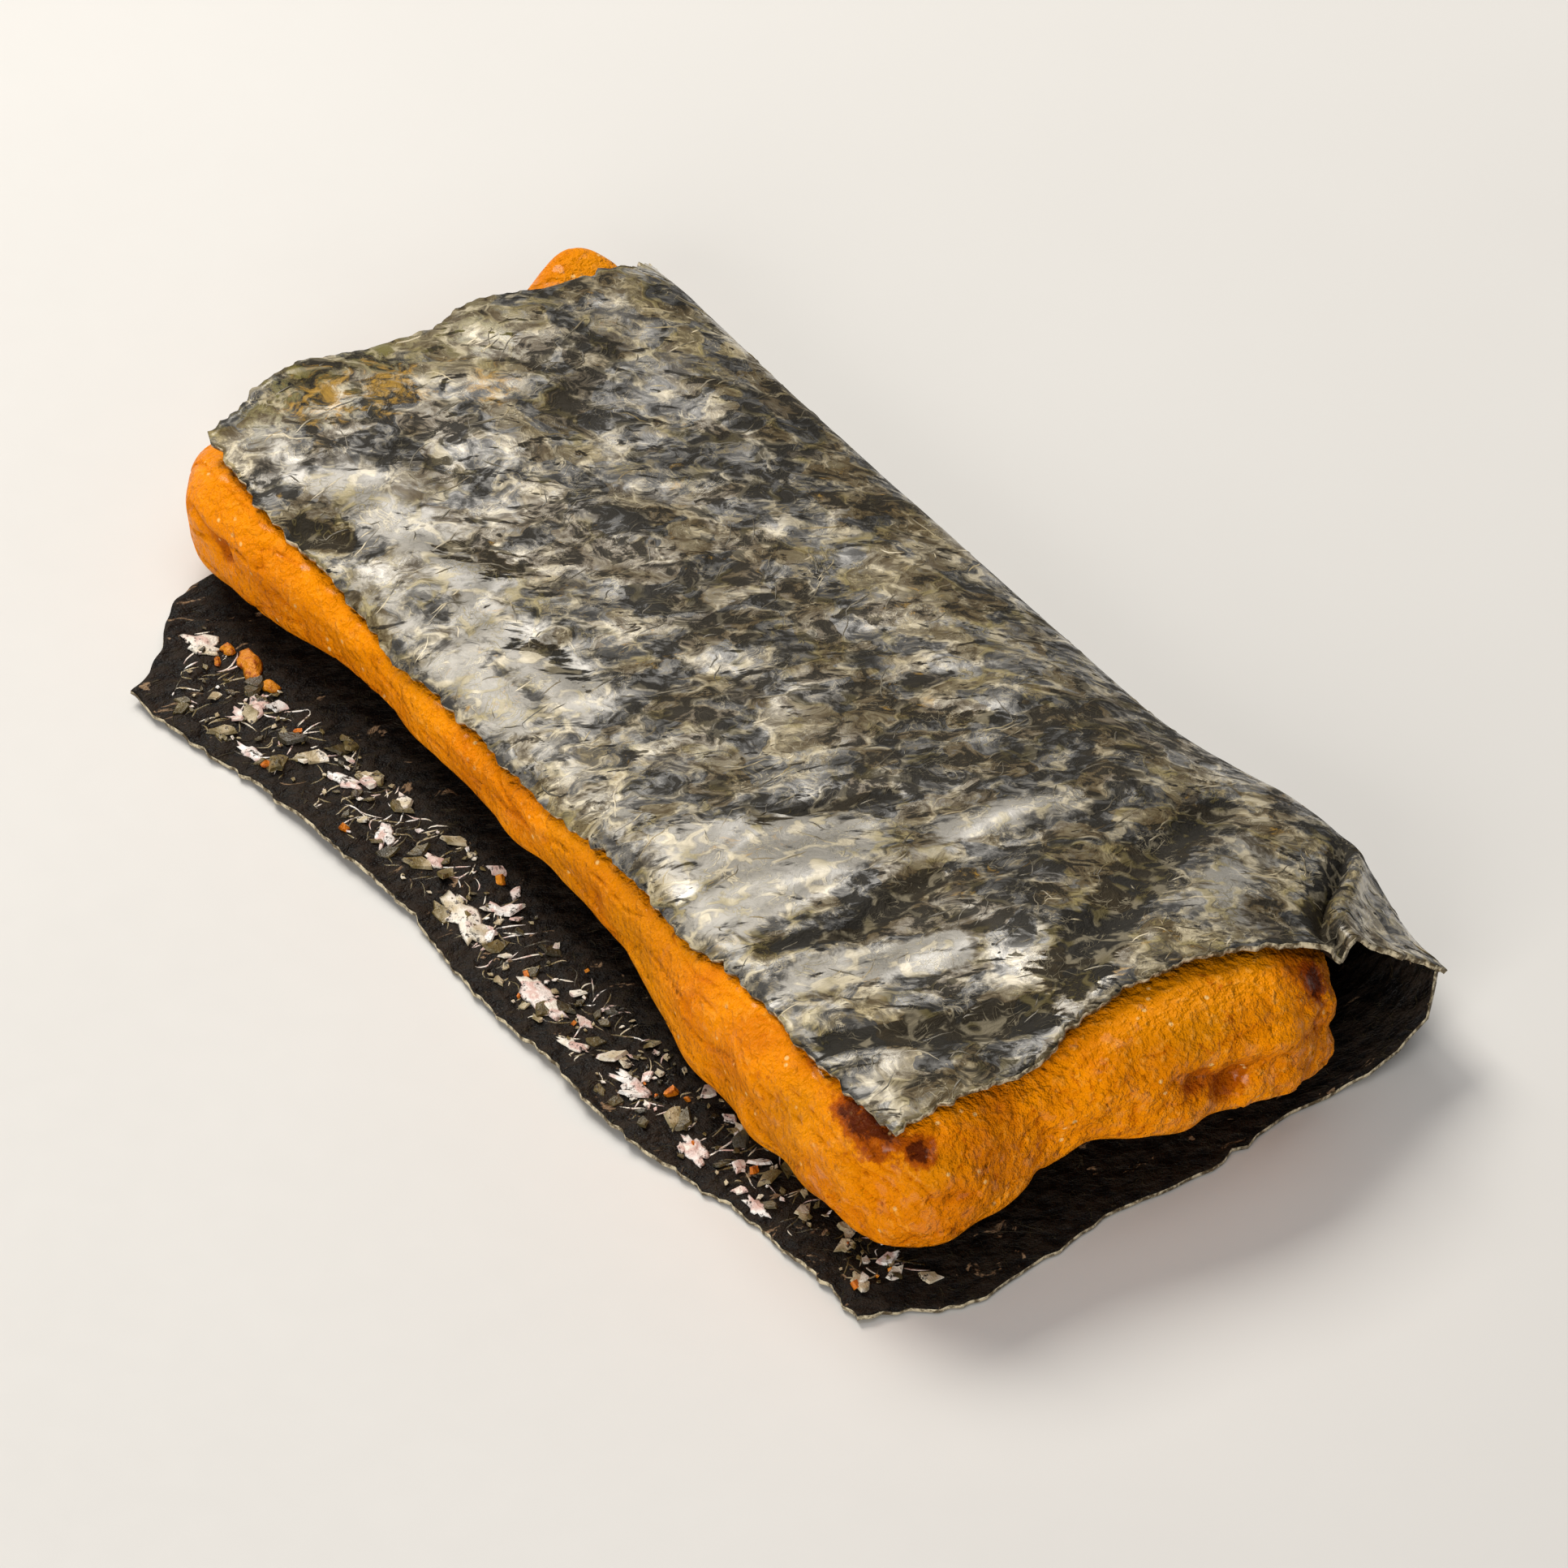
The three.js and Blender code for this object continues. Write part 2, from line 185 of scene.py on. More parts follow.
def slab(block):
    """Takes points on a square block, from -1 to 1, to the slab: places, normals, walls."""
    a, b, c = block.T
    half = np.array([(SLAB_FRONT - SLAB_BACK) / 2, SLAB_WIDTH / 2])
    flat = np.stack([a, (1 + CROWDING) * b - CROWDING * b ** 3], -1) * half
    core = np.clip(flat, CORNER_RADIUS - half, half - CORNER_RADIUS)
    reach = flat - core
    depth = CORNER_RADIUS - np.abs(reach).max(-1)
    outward = unit(reach)
    height = c * BLOCK_HEIGHT / 2
    straight = BLOCK_HEIGHT / 2 - RIM_RADIUS
    level = np.clip(height, -straight, straight)
    rim = unit(np.stack([np.maximum(RIM_RADIUS - depth, 0), height - level], -1))
    inset = np.maximum(depth, RIM_RADIUS) - RIM_RADIUS * rim[:, 0]
    plan = core + outward * (CORNER_RADIUS - inset)[:, None]
    share = 0.5 + (level + RIM_RADIUS * rim[:, 1]) / BLOCK_HEIGHT
    x = plan[:, 0] + (SLAB_BACK + SLAB_FRONT) / 2
    y = mix(open_side(x), fold_side(x), 0.5 + plan[:, 1] / SLAB_WIDTH)
    hollow = FRONT_HOLLOW["depth"] * swelling(FRONT_HOLLOW, x, y)
    places = np.stack([x - hollow, y, mix(crust_bottom(x, y), crust_top(x, y), share)], -1)
    normals = np.column_stack([outward * rim[:, :1], rim[:, 1]])
    return places, normals, rim[:, 0]


def plain_relief(places, wall):
    """The low relief that the part's own solid has."""
    relief = LUMPS["height"] * ripples(places, LUMPS["length"], LUMPS["seed"])
    relief += GRAIN["height"] * ripples(places, GRAIN["length"], GRAIN["seed"])
    return relief * mix(COVERED_RELIEF, 1, wall ** 2)


def knob_share(places, wall):
    return near(places, KNOB["place"], KNOB["width"]) * wall ** 2


def crust_relief(places):
    """Swells, packed grains, drips, pits and cracks of the baked crust."""
    front = grown(FRONT_END, places[:, 0])
    relief = SWELLS["height"] * wisps(places, SWELLS["size"])
    for form in (CRUMBLE, GRIT):
        uneven = wisps(places + UNEVEN["shift"] + form["shift"], UNEVEN["size"])
        uneven = np.clip(UNEVEN["mean"] + UNEVEN["swing"] * uneven, 0, UNEVEN["most"])
        grains = domes(places + form["shift"], form["size"]) - GRAIN_LEVEL
        relief += form["height"] * uneven * mix(1, form["front"], front) * grains
    grains = domes(places + CLUSTER["shift"], CLUSTER["size"]) - CLUSTER["level"]
    relief += CLUSTER["height"] * near(places, CLUSTER["place"], CLUSTER["reach"]) * grains
    for place, reach, height in DRIPS:
        relief += height * near(places, place, reach)
    for place, reach, depth in PITS:
        relief -= depth * near(places, place, reach)
    stretch = (CRACK["along"], CRACK["across"], CRACK["across"])
    seam = np.abs(wisps(places + CRACK["shift"], stretch))
    return relief - CRACK["depth"] * ramp(CRACK["width"], 0, seam)


def block_skin(cells):
    """The corners of a block's cells on its six sides, from -1 to 1, and its square faces."""
    sides = []
    for axis in range(3):
        right, up = (axis + 1) % 3, (axis + 2) % 3
        across, along = np.meshgrid(np.arange(cells[right]), np.arange(cells[up]), indexing="ij")
        for end in (0, cells[axis]):
            turn = [(0, 0), (1, 0), (1, 1), (0, 1)]
            quad = np.full((*across.shape, 4, 3), end)
            for corner, (step, lift) in enumerate(turn if end else turn[::-1]):
                quad[..., corner, right] = across + step
                quad[..., corner, up] = along + lift
            sides.append(quad.reshape(-1, 3))
    corners, faces = np.unique(np.concatenate(sides), axis=0, return_inverse=True)
    return 2 * corners / np.array(cells) - 1, faces.reshape(-1, 4)


def shaped(name, places, faces):
    """A mesh from places in millimetres in the maker's axes, and faces."""
    mesh = bpy.data.meshes.new(name)
    mesh.from_pydata(((places + TO_ROW) * MM).tolist(), [], faces)
    return mesh


def skin(name, places, faces):
    """A smooth piece from places in millimetres in the maker's axes, and faces."""
    piece = bpy.data.objects.new(name, shaped(name, places, faces))
    piece.data.shade_smooth()
    bpy.context.scene.collection.objects.link(piece)
    return piece


def give(piece, name, values, kind="FLOAT"):
    """Keeps these values on the piece's mesh, one for each of its points."""
    kept = piece.data.attributes.new(name, kind, "POINT")
    kept.data.foreach_set("value" if kind == "FLOAT" else "vector", np.ravel(values))


class Field:
    """One output of a node. Arithmetic on it adds Math nodes; node() adds any other."""

    def __init__(self, tree, socket=None):
        self.tree = tree
        self.socket = socket

    def node(self, kind, settings=None, inputs=None, output=0):
        """One output of a new node with these settings and these values or links."""
        made = self.tree.nodes.new(kind)
        for name, value in (settings or {}).items():
            if name == "stops":
                self.set_stops(made.color_ramp, value)
            else:
                setattr(made, name, value)
        for name, value in (inputs or {}).items():
            if isinstance(value, Field):
                self.tree.links.new(value.socket, made.inputs[name])
            else:
                made.inputs[name].default_value = value
        return Field(self.tree, made.outputs[output] if made.outputs else None)

    @staticmethod
    def set_stops(band, stops):
        for _ in stops[2:]:
            band.elements.new(0.5)
        for element, (place, colour) in zip(band.elements, stops):
            element.position = place
            element.color = (*colour, 1)

    def out(self, name):
        """Another output of the same node."""
        return Field(self.tree, self.socket.node.outputs[name])

    def math(self, operation, *others):
        """This and the others, in this order, through one Math node."""
        values = dict(enumerate((self, *others)))
        return self.node("ShaderNodeMath", {"operation": operation}, values)

    def __add__(self, other):
        return self.math("ADD", other)

    def __sub__(self, other):
        return self.math("SUBTRACT", other)

    def __rsub__(self, other):
        return self * -1 + other

    def __mul__(self, other):
        return self.math("MULTIPLY", other)

    __radd__ = __add__
    __rmul__ = __mul__

    def step(self, start, end):
        """0 at start and 1 at end, smooth between them."""
        return self.node("ShaderNodeMapRange", {"interpolation_type": "SMOOTHSTEP"},
                         {"Value": self, "From Min": start, "From Max": end})

    def blend(self, low, high):
        """A colour from low, where this is 0, to high, where it is 1."""
        low, high = ((*c, 1) if isinstance(c, tuple) else c for c in (low, high))
        return self.node("ShaderNodeMix", {"data_type": "RGBA"}, {0: self, 6: low, 7: high}, 2)

    def vector(self, operation, other, output=0):
        """This and the other through one Vector Math node."""
        return self.node("ShaderNodeVectorMath", {"operation": operation},
                         {0: self, 1: other}, output)

    def scaled(self, factor):
        """This vector, this many times as long."""
        return self.node("ShaderNodeVectorMath", {"operation": "SCALE"},
                         {0: self, "Scale": factor})

    def axis(self, name):
        """One of this vector's parts: X, Y or Z."""
        return self.node("ShaderNodeSeparateXYZ", None, {"Vector": self}, name)

    def cloud(self, size, detail=2.0, roughness=0.5, distortion=0.0):
        """Soft lumps of this size over a vector field, from 0 to 1."""
        return self.node("ShaderNodeTexNoise", None, {
            "Vector": self, "Scale": 1 / size, "Detail": detail, "Roughness": roughness,
            "Distortion": distortion})

    def swirl(self, size, reach):
        """The same places, each drawn aside by up to about this distance in soft swirls."""
        inputs = {"Vector": self, "Scale": 1 / size, "Detail": 1.0}
        drift = self.node("ShaderNodeTexNoise", None, inputs, "Color")
        return self.vector("ADD", drift.vector("SUBTRACT", (0.5,) * 3).scaled(4 * reach))

    def cells(self, size, feature="F1"):
        """Distance from the middle of cells of this size over a vector field."""
        return self.node("ShaderNodeTexVoronoi", {"feature": feature},
                         {"Vector": self, "Scale": 1 / size})

    def bump(self, depth):
        """A normal from this height, whose 1 stands this many millimetres high."""
        return self.node("ShaderNodeBump", None, {"Height": self, "Distance": depth * MM})


def finish(name, shader):
    """A material from shader(field), which returns the Principled shader's inputs."""
    material = bpy.data.materials.new(name)
    material.use_nodes = True
    material.node_tree.nodes.clear()
    start = Field(material.node_tree)
    surface = start.node("ShaderNodeBsdfPrincipled", None, shader(start))
    start.node("ShaderNodeOutputMaterial", None, {"Surface": surface})
    return material


def object_mm(start):
    """Places on the piece in millimetres."""
    return start.node("ShaderNodeTexCoord", output="Object").scaled(1 / MM)


def attribute(start, name, output="Fac"):
    """A value kept on the piece's own mesh."""
    return start.node("ShaderNodeAttribute", {"attribute_name": name}, output=output)


def around(places, spot, reach, stretch=1):
    """1 at a spot given in the maker's axes, fading to 0 at this reach, or further along X."""
    centre = tuple(np.array(spot) + TO_ROW)
    offset = places.vector("SUBTRACT", centre).vector("MULTIPLY", (1 / stretch, 1, 1))
    return offset.vector("DISTANCE", (0, 0, 0), "Value").step(reach, 0)


def around_any(places, spots):
    """The greatest share of several spots, each with its place, reach and perhaps stretch."""
    share, *others = (around(places, *spot) for spot in spots)
    for other in others:
        share = share.math("MAXIMUM", other)
    return share


GLAZE_BRIGHT = (0.90, 0.285, 0.001)
GLAZE_DEEP = (0.62, 0.160, 0.001)
GLAZE_RUST = (0.42, 0.075, 0.001)
GLAZE_YELLOW = (0.66, 0.235, 0.001)
GLAZE_PALE = (0.95, 0.42, 0.06)
GLAZE_GLINT = (0.9, 0.62, 0.25)
BROWNED = (0.30, 0.045, 0.002)
BURNT = (0.085, 0.012, 0.003)
# Each spot has a place and a reach, and may be stretched along the cracker.
BURNT_SPOTS = (((26.2, -12.2, 8.3), 2.7, 2.4), ((29.3, -11.4, 8.5), 2.2), ((29.0, 11.6, 8.0), 2.2))
BROWN_SPOTS = (((30.5, 5.2, 5.8), 2.2), ((30.5, 3.4, 6.6), 1.6), ((28.8, 11.8, 7.6), 3.2),
               ((24, -13, 3.2), 2.0))


def crust_shader(start):
    places = object_mm(start)
    rise = attribute(start, "rise")
    front = places.axis("X").step(18, 30)
    grit = places.cloud(0.42, 3, 0.65)
    grains = places.cells(0.6)
    # On the crests of the relief the glaze is painted lighter, and pale on the grit: painted sheen
    # and painted highlights.
    crest_sheen = rise.step(-0.14, 0.14)
    bright = places.cloud(4, 3).step(0.36, 0.62) * 0.6 + crest_sheen * 0.4
    colour = bright.blend(GLAZE_DEEP, GLAZE_BRIGHT)
    colour = (places.cloud(9, 1).step(0.5, 0.7) * 0.7).blend(colour, GLAZE_YELLOW)
    colour = (grit.step(0.52, 0.7) * crest_sheen * 0.55).blend(colour, GLAZE_PALE)
    crease = places.cloud(0.6, 4, 0.7).step(0.45, 0.36) * places.cloud(2.4, 2).step(0.42, 0.6)
    colour = (crease * (front * 0.35 + 0.3)).blend(colour, GLAZE_RUST)
    brown = places.cloud(1.1, 4, 0.65).step(0.66, 0.76) * (front * 0.6 + 0.3)
    brown = brown.math("MAXIMUM", rise.step(-0.16, -0.32) * 0.7)
    brown = brown.math("MAXIMUM", around_any(places, BROWN_SPOTS) * grit.step(0.38, 0.56))
    colour = brown.blend(colour, BROWNED)
    burnt = around_any(places, BURNT_SPOTS) * 2.0 + places.cloud(0.9, 4, 0.65) * 2.2 - 2.05
    colour = (burnt.step(0.0, 0.45) * 0.85).blend(colour, BROWNED)
    colour = burnt.step(0.45, 0.85).blend(colour, BURNT)
    # Small cream specks: painted glints on the wet glaze.
    glint_specks = places.cells(0.9).step(0.18, 0.08) * places.cloud(2, 2).step(0.48, 0.6)
    colour = (glint_specks * 0.75).blend(colour, GLAZE_GLINT)
    height = grit * 0.9 - grains * 0.35 + places.cloud(0.9, 3, 0.6) * 1.1
    return {
        "Base Color": colour,
        "Roughness": grit.step(0.3, 0.8) * 0.3 + 0.33,
        "Normal": height.bump(0.4),
        "Specular IOR Level": 0.12,
        "Specular Tint": (1, 0.6, 0.1, 1),
        "Coat Weight": places.cloud(0.8, 3).step(0.54, 0.64) * (front * 0.35 + 0.22),
        "Coat Roughness": 0.2,
    }


block, slab_faces = block_skin(SLAB_CELLS)
slab_places, slab_normals, slab_wall = slab(block)
plain_slab = slab_places + slab_normals * plain_relief(slab_places, slab_wall)[:, None]
plain_slab += knob_share(slab_places, slab_wall)[:, None] * np.array(KNOB["push"])

# The plain slab fills the frame's box of the same piece, which gives the way to its axes.
low, high = (np.array(corner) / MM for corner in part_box("cracker"))
TO_ROW = (low + high) / 2 - (plain_slab.min(0) + plain_slab.max(0)) / 2

# The long side is calmer than the ends, and what the sheet hides lies a little lower.
baked = crust_relief(plain_slab)
calm = CALM["share"] * grown(CALM, plain_slab[:, 0])
calm = calm * plain_relief(slab_places, slab_wall) * slab_wall
hidden = ramp(SETTLED["y_start"], SETTLED["y_full"], plain_slab[:, 1])
hidden = hidden * ramp(SETTLED["x_start"], SETTLED["x_full"], plain_slab[:, 0])
settled = SETTLED["depth"] * hidden * np.clip(slab_normals[:, 2], 0, 1)
rise = baked * slab_wall ** 3 - calm - settled
cracker = skin("rice_cracker", plain_slab + slab_normals * rise[:, None], slab_faces.tolist())
give(cracker, "rise", baked)
cracker.data.materials.append(finish("glazed crust", crust_shader))
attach(cracker, "root")
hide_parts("cracker")

# ---- Nori ----
# One sheet of dried laver, pressed from chopped fronds: smooth and glossy outside, rough
# inside. It is folded round the cracker's far side by hand, tight at the back and pinched
# at the front, and nothing holds it but its own stiffness.

THICKNESS = 0.26
SOLID_THICKNESS = 0.4
GAP = 0.4
SHEET_BACK = -37.2
SHEET_FRONT = 28.4
TOP_EDGE = {"y": -12.3, "inset": 0.3, "start": 12, "full": 2}
LOWER_EDGE = {"y": -18.3, "spread": 3.2, "start": -12, "full": -38}
LOWER_TUCK = {"depth": 3, "start": 4, "full": 24}
SKEW = {"slide": 4.2, "power": 1.3}
SINK = 0.65
NOSE = {"y": 17.9, "slant": 0.045, "level": 4.3, "flare": 1.7, "start": 5, "full": 17}
SHOULDER_INSET = 1.4
SHOULDER_SLOPE = -0.38
TUCK_LINE = {"y": 11.6, "slant": -0.0215, "bend": 0.0003}
ROOMY = {"start": 10, "full": 19}
PINCHED = {"start": 20, "full": 27, "level": 4.2, "drawn": 0.9, "over": 0.15, "away": 0.4}
REACH = {"over": 2.1, "over_roomy": 3.6, "away": 1.6, "away_roomy": 4.4, "under": 1.9,
         "under_pinched": 1.2}
CREASE = {"depth": 0.85, "width": 0.034, "from": 0.38, "to": 0.095, "start": 18, "full": 28,
          "deep": 23}
RIDGE = {"height": 0.7, "width": 0.04, "beyond": 0.065}
LIP = {"height": 0.9, "centre": -37.2, "width": 1.7, "y_start": 1, "y_full": -8}
CURL = {"height": 0.35, "swing": 0.25, "pitch": 21, "y_start": -13, "y_full": -20}
WAVE = {"height": 0.1, "length": 9, "seed": 3}
EDGE_WANDER = {"across": 0.15, "pitch": 13, "along": 0.3, "turn_per_row": 0.89}
CORNER_TRIM = {"top_back": 1.2, "lower_back": 4.5, "lower_front": 2, "rows": 3}
BACK_NOTCH = {"depth": 1.2, "width": 3}
FRONT_NOTCH = {"depth": 1.6, "centre": 0.66, "width": 0.2}
FLAP_ROWS = 19
FOLD_ROWS = 18
TUCK_ROWS = 14
SHEET_ROWS = FLAP_ROWS + FOLD_ROWS + TUCK_ROWS
TUCK_START = FLAP_ROWS + FOLD_ROWS
NOSE_ROW = FLAP_ROWS + FOLD_ROWS / 2

# The sheet's own detail, finer where it shows than where the cracker hides it.
SHEET_COLUMNS = 200
FLAP_STEPS = 108
FOLD_STEPS = (44, 14)
HIDDEN_STEPS = 26
STRIP_STEPS = 34
HIDDEN_SHARE = 0.78
ROW_PITCH = 1.5
TEETH = {"height": 0.42, "pitch": 0.7, "swing": 0.34, "swing_pitch": 3.4, "swing_shift": 50,
         "reach": 2.2, "lower": 0.7}
DROOP = {"depth": 0.5, "start": -7.5, "full": -13, "power": 1.2}
PUCKERS = {"height": 0.17, "across": 3.4, "along": 5.5, "shift": 5}
CRINKLES = {"height": 0.07, "across": 1.3, "along": 2.2, "shift": 17}
WRINKLES = {"height": 0.34, "across": 2.6, "along": 12.0, "shift": 31, "start": 8, "full": 14}
ROUGH_STRIP = {"start": -11, "full": -14, "rougher": 2.5}
CREASE_SHADE = {"ahead": 0.02, "wider": 1.5}
FURROW_SHADE = 2.8
SWERVE = {"reach": 0.5, "size": (4, 4, 400)}
INSIDE_SHIFT = 30
# Each furrow and sheen runs between two places, with its depth or share and its width.
# A furrow both dips the sheet and is painted in shade; a sheen is a painted sheen, with more coat.
FURROWS = (((16.4, 15), (18.6, 9.8), 0.36, 0.9), ((18.6, 9.8), (22.0, 4.6), 0.36, 1.5),
           ((22.0, 4.6), (24.8, 0.6), 0.34, 1.6), ((21.4, -11.2), (23.4, -7.4), 0.32, 0.8),
           ((23.4, -7.4), (25.8, -2.4), 0.4, 1.1), ((13.9, -10), (15.4, -6), 0.34, 0.6),
           ((15.4, -6), (14.3, -0.8), 0.36, 0.7), ((5.2, -4.7), (7.8, 1.5), 0.2, 0.5),
           ((-27.4, -11.4), (-25.6, -10), 0.3, 0.8), ((-14, -6.5), (-10, -5.6), 0.14, 0.9),
           ((-22, -5.5), (-18.5, -4), 0.14, 1.1), ((2, 6), (5.5, 9), 0.12, 0.9))
SHEENS = (((5.8, -8.4), (7.6, -4.4), 0.8, 2.4), ((10.2, -9.6), (9.4, -3), 1.0, 2.2),
          ((17.0, -9.6), (19.6, -3.2), 1.0, 1.3), ((20.6, 13.4), (24.6, 9), 0.45, 2.0),
          ((-30.5, -9.8), (-33.8, -9), 0.4, 1.2), ((-22.5, -10.6), (-16, -9.6), 0.38, 1.5),
          ((-29, -7.6), (-19, -6.2), 0.55, 2.0), ((-17.5, -7.2), (-8, -6.6), 0.55, 2.2),
          ((-14.5, -10.4), (-9, -10), 0.7, 1.6), ((-6, -10.2), (2, -10), 0.3, 1.2),
          ((12, 2), (13, 8), 0.5, 1.5))


def flap_level(x, y):
    """Height of the sheet's middle where it lies on the cracker."""
    depth = np.minimum(y - open_side(x), fold_side(x) - y)
    overhang = np.clip(RIM_RADIUS - depth, 0, RIM_RADIUS)
    drop = RIM_RADIUS - np.sqrt(RIM_RADIUS ** 2 - overhang ** 2)
    squeeze = (crust_top(x, y) - crust_bottom(x, y)) / BLOCK_HEIGHT
    lip = LIP["height"] * bell(x, LIP["centre"], LIP["width"]) * ramp(
        LIP["y_start"], LIP["y_full"], y)
    return crust_top(x, y) - SINK * drop * squeeze + GAP + SOLID_THICKNESS / 2 + lip


def curve(points, t):
    """A cubic curve through the section's plane, each point a pair of Y and Z."""
    weights = ((1 - t) ** 3, 3 * (1 - t) ** 2 * t, 3 * (1 - t) * t ** 2, t ** 3)
    return tuple(sum(w * p[axis] for w, p in zip(weights, points)) for axis in (0, 1))


def teeth(place, seed):
    """Fine raggedness of a torn edge at a place along it, in millimetres."""
    spots = np.zeros((*np.shape(place), 3))
    spots[..., 0] = place
    spots[..., 1] = seed
    fine = wisps(spots, (TEETH["pitch"], 1, 1)).reshape(np.shape(place))
    coarse = wisps(spots + TEETH["swing_shift"], (TEETH["swing_pitch"], 1, 1))
    coarse = coarse.reshape(np.shape(place))
    return TEETH["height"] * fine + TEETH["swing"] * coarse


def wander(x):
    """How far the cut edge swings aside at this place along it."""
    return EDGE_WANDER["across"] * np.sin(2 * math.pi * x / EDGE_WANDER["pitch"])


def flap_section(x, share):
    """Across the upper flap, from its open edge at 0 to the shoulder of the fold at 1."""
    edge = TOP_EDGE["y"] + TOP_EDGE["inset"] * grown(TOP_EDGE, x)
    y = mix(edge + wander(x), fold_side(x) - SHOULDER_INSET, share)
    y = y + teeth(x[0], 1) * ramp(TEETH["reach"], 0, y - edge)
    return y, flap_level(x, y)


def tuck_line(x):
    """Where the sheet turns up from the table into the fold."""
    return TUCK_LINE["y"] + TUCK_LINE["slant"] * x + TUCK_LINE["bend"] * x * x


def tuck_section(x, share):
    """Across the lower flap, from the fold at 0 to its open edge at 1."""
    spread = LOWER_EDGE["spread"] * grown(LOWER_EDGE, x)
    tuck = LOWER_TUCK["depth"] * grown(LOWER_TUCK, x)
    edge = LOWER_EDGE["y"] - spread + tuck + wander(x)
    y = mix(tuck_line(x), edge, share)
    y = y + teeth(x[-1], 2) * TEETH["lower"] * ramp(TEETH["reach"], 0, y - edge)
    curl = CURL["height"] + CURL["swing"] * np.sin(2 * math.pi * x / CURL["pitch"])
    return y, SOLID_THICKNESS / 2 + curl * ramp(CURL["y_start"], CURL["y_full"], y)


def crease_place(x):
    """Where the crease runs down the fold, as a share of the way round it."""
    return mix(CREASE["from"], CREASE["to"], grown(CREASE, x))


def crease_depth(x):
    """1 where the crease has its full depth and 0 behind its start."""
    return ramp(CREASE["start"], CREASE["deep"], x)


def fold_section(x, share):
    """Round the fold, from the shoulder at 0 past the nose at a half to the table at 1."""
    roomy = grown(ROOMY, x)
    pinched = grown(PINCHED, x)
    deep = crease_depth(x)
    flare = NOSE["flare"] * grown(NOSE, x) - PINCHED["drawn"] * pinched
    nose = NOSE["y"] + NOSE["slant"] * x + flare
    level = mix(NOSE["level"], PINCHED["level"], pinched)
    rest = SOLID_THICKNESS / 2
    under = mix(REACH["under"], REACH["under_pinched"], pinched)
    lower = curve(((nose, level), (nose, level - under), (nose - REACH["under"], rest),
                   (tuck_line(x), rest)), np.clip(2 * share - 1, 0, 1))
    shoulder = fold_side(x) - SHOULDER_INSET
    shoulder_level = flap_level(x, shoulder)
    over = mix(REACH["over"], REACH["over_roomy"], roomy) * mix(1, PINCHED["over"], pinched)
    away = mix(REACH["away"], REACH["away_roomy"], roomy) * mix(1, PINCHED["away"], pinched)
    leaving = (shoulder + away, shoulder_level + SHOULDER_SLOPE * away)
    y, z = curve(((shoulder, shoulder_level), leaving, (nose, level + over), (nose, level)),
                 np.clip(2 * share, 0, 1))

    # The crease and the ridge beside it fade out before the nose.
    place = crease_place(x)
    crease = CREASE["depth"] * bell(share, place, CREASE["width"])
    ridge = RIDGE["height"] * bell(share, place + RIDGE["beyond"], RIDGE["width"])
    z = z + deep * (1 - (2 * share) ** 4) * (ridge - crease)
    return np.where(share < 0.5, y, lower[0]), np.where(share < 0.5, z, lower[1])


def sheet_middle(along, row):
    """Places on the sheet's middle, along from 0 at the back to 1 at the front."""
    rough = EDGE_WANDER["along"] * np.sin(EDGE_WANDER["turn_per_row"] * row)
    lower_trim = ramp(SHEET_ROWS - CORNER_TRIM["rows"], SHEET_ROWS, row)
    top_trim = CORNER_TRIM["top_back"] * ramp(CORNER_TRIM["rows"], 0, row)
    back_notch = BACK_NOTCH["depth"] * bell(row, FLAP_ROWS, BACK_NOTCH["width"])
    front_notch = FRONT_NOTCH["depth"] * bell(
        row / FLAP_ROWS, FRONT_NOTCH["centre"], FRONT_NOTCH["width"])
    back = SHEET_BACK + rough + back_notch + top_trim + CORNER_TRIM["lower_back"] * lower_trim
    front = SHEET_FRONT - rough - front_notch - CORNER_TRIM["lower_front"] * lower_trim
    x = mix(back, front, along)
    way_round = row * ROW_PITCH
    x = x + teeth(way_round, 3) * ramp(TEETH["reach"], 0, x - back)
    x = x + teeth(way_round, 4) * ramp(TEETH["reach"], 0, front - x)
    flap = flap_section(x, np.clip(row / FLAP_ROWS, 0, 1))
    fold = fold_section(x, np.clip((row - FLAP_ROWS) / FOLD_ROWS, 0, 1))
    tuck = tuck_section(x, np.clip((row - TUCK_START) / TUCK_ROWS, 0, 1))
    y, z = (np.where(row <= FLAP_ROWS, flap[axis],
                     np.where(row >= TUCK_START, tuck[axis], fold[axis])) for axis in (0, 1))
    past_nose = np.clip((row - NOSE_ROW) / (SHEET_ROWS - NOSE_ROW), 0, 1)
    return np.stack([x + SKEW["slide"] * past_nose ** SKEW["power"], y, z], -1)


def grid_normals(places):
    """Outward directions at the knots of a grid of rows and columns."""
    rows = np.gradient(places, axis=0)
    columns = np.gradient(places, axis=1)
    return unit(np.cross(columns, rows))


def run_between(places, start, end, width):
    """1 on the wandering line between these two places in plan, fading to 0 beside it."""
    start, run = np.array(start), np.array(end) - np.array(start)
    share = np.clip((places[..., :2] - start) @ run / (run @ run), 0, 1)
    swerve = SWERVE["reach"] * wisps(places, SWERVE["size"]).reshape(places.shape[:2])
    away = np.linalg.norm(places[..., :2] - start - share[..., None] * run, axis=-1)
    return bell(away, swerve ** 2, width)


def crease_shade(x, row):
    """1 in the crease of the pinched fold, fading to 0 beside it."""
    share = (row - FLAP_ROWS) / FOLD_ROWS + CREASE_SHADE["ahead"]
    width = CREASE_SHADE["wider"] * CREASE["width"]
    return crease_depth(x) * bell(share, crease_place(x), width)


def flattened(places, way_round):
    """The same places on the flat sheet: along it, round it, and 0."""
    shape = places.shape[:2]
    return np.stack([places[..., 0], way_round * np.ones(shape), np.zeros(shape)], -1)


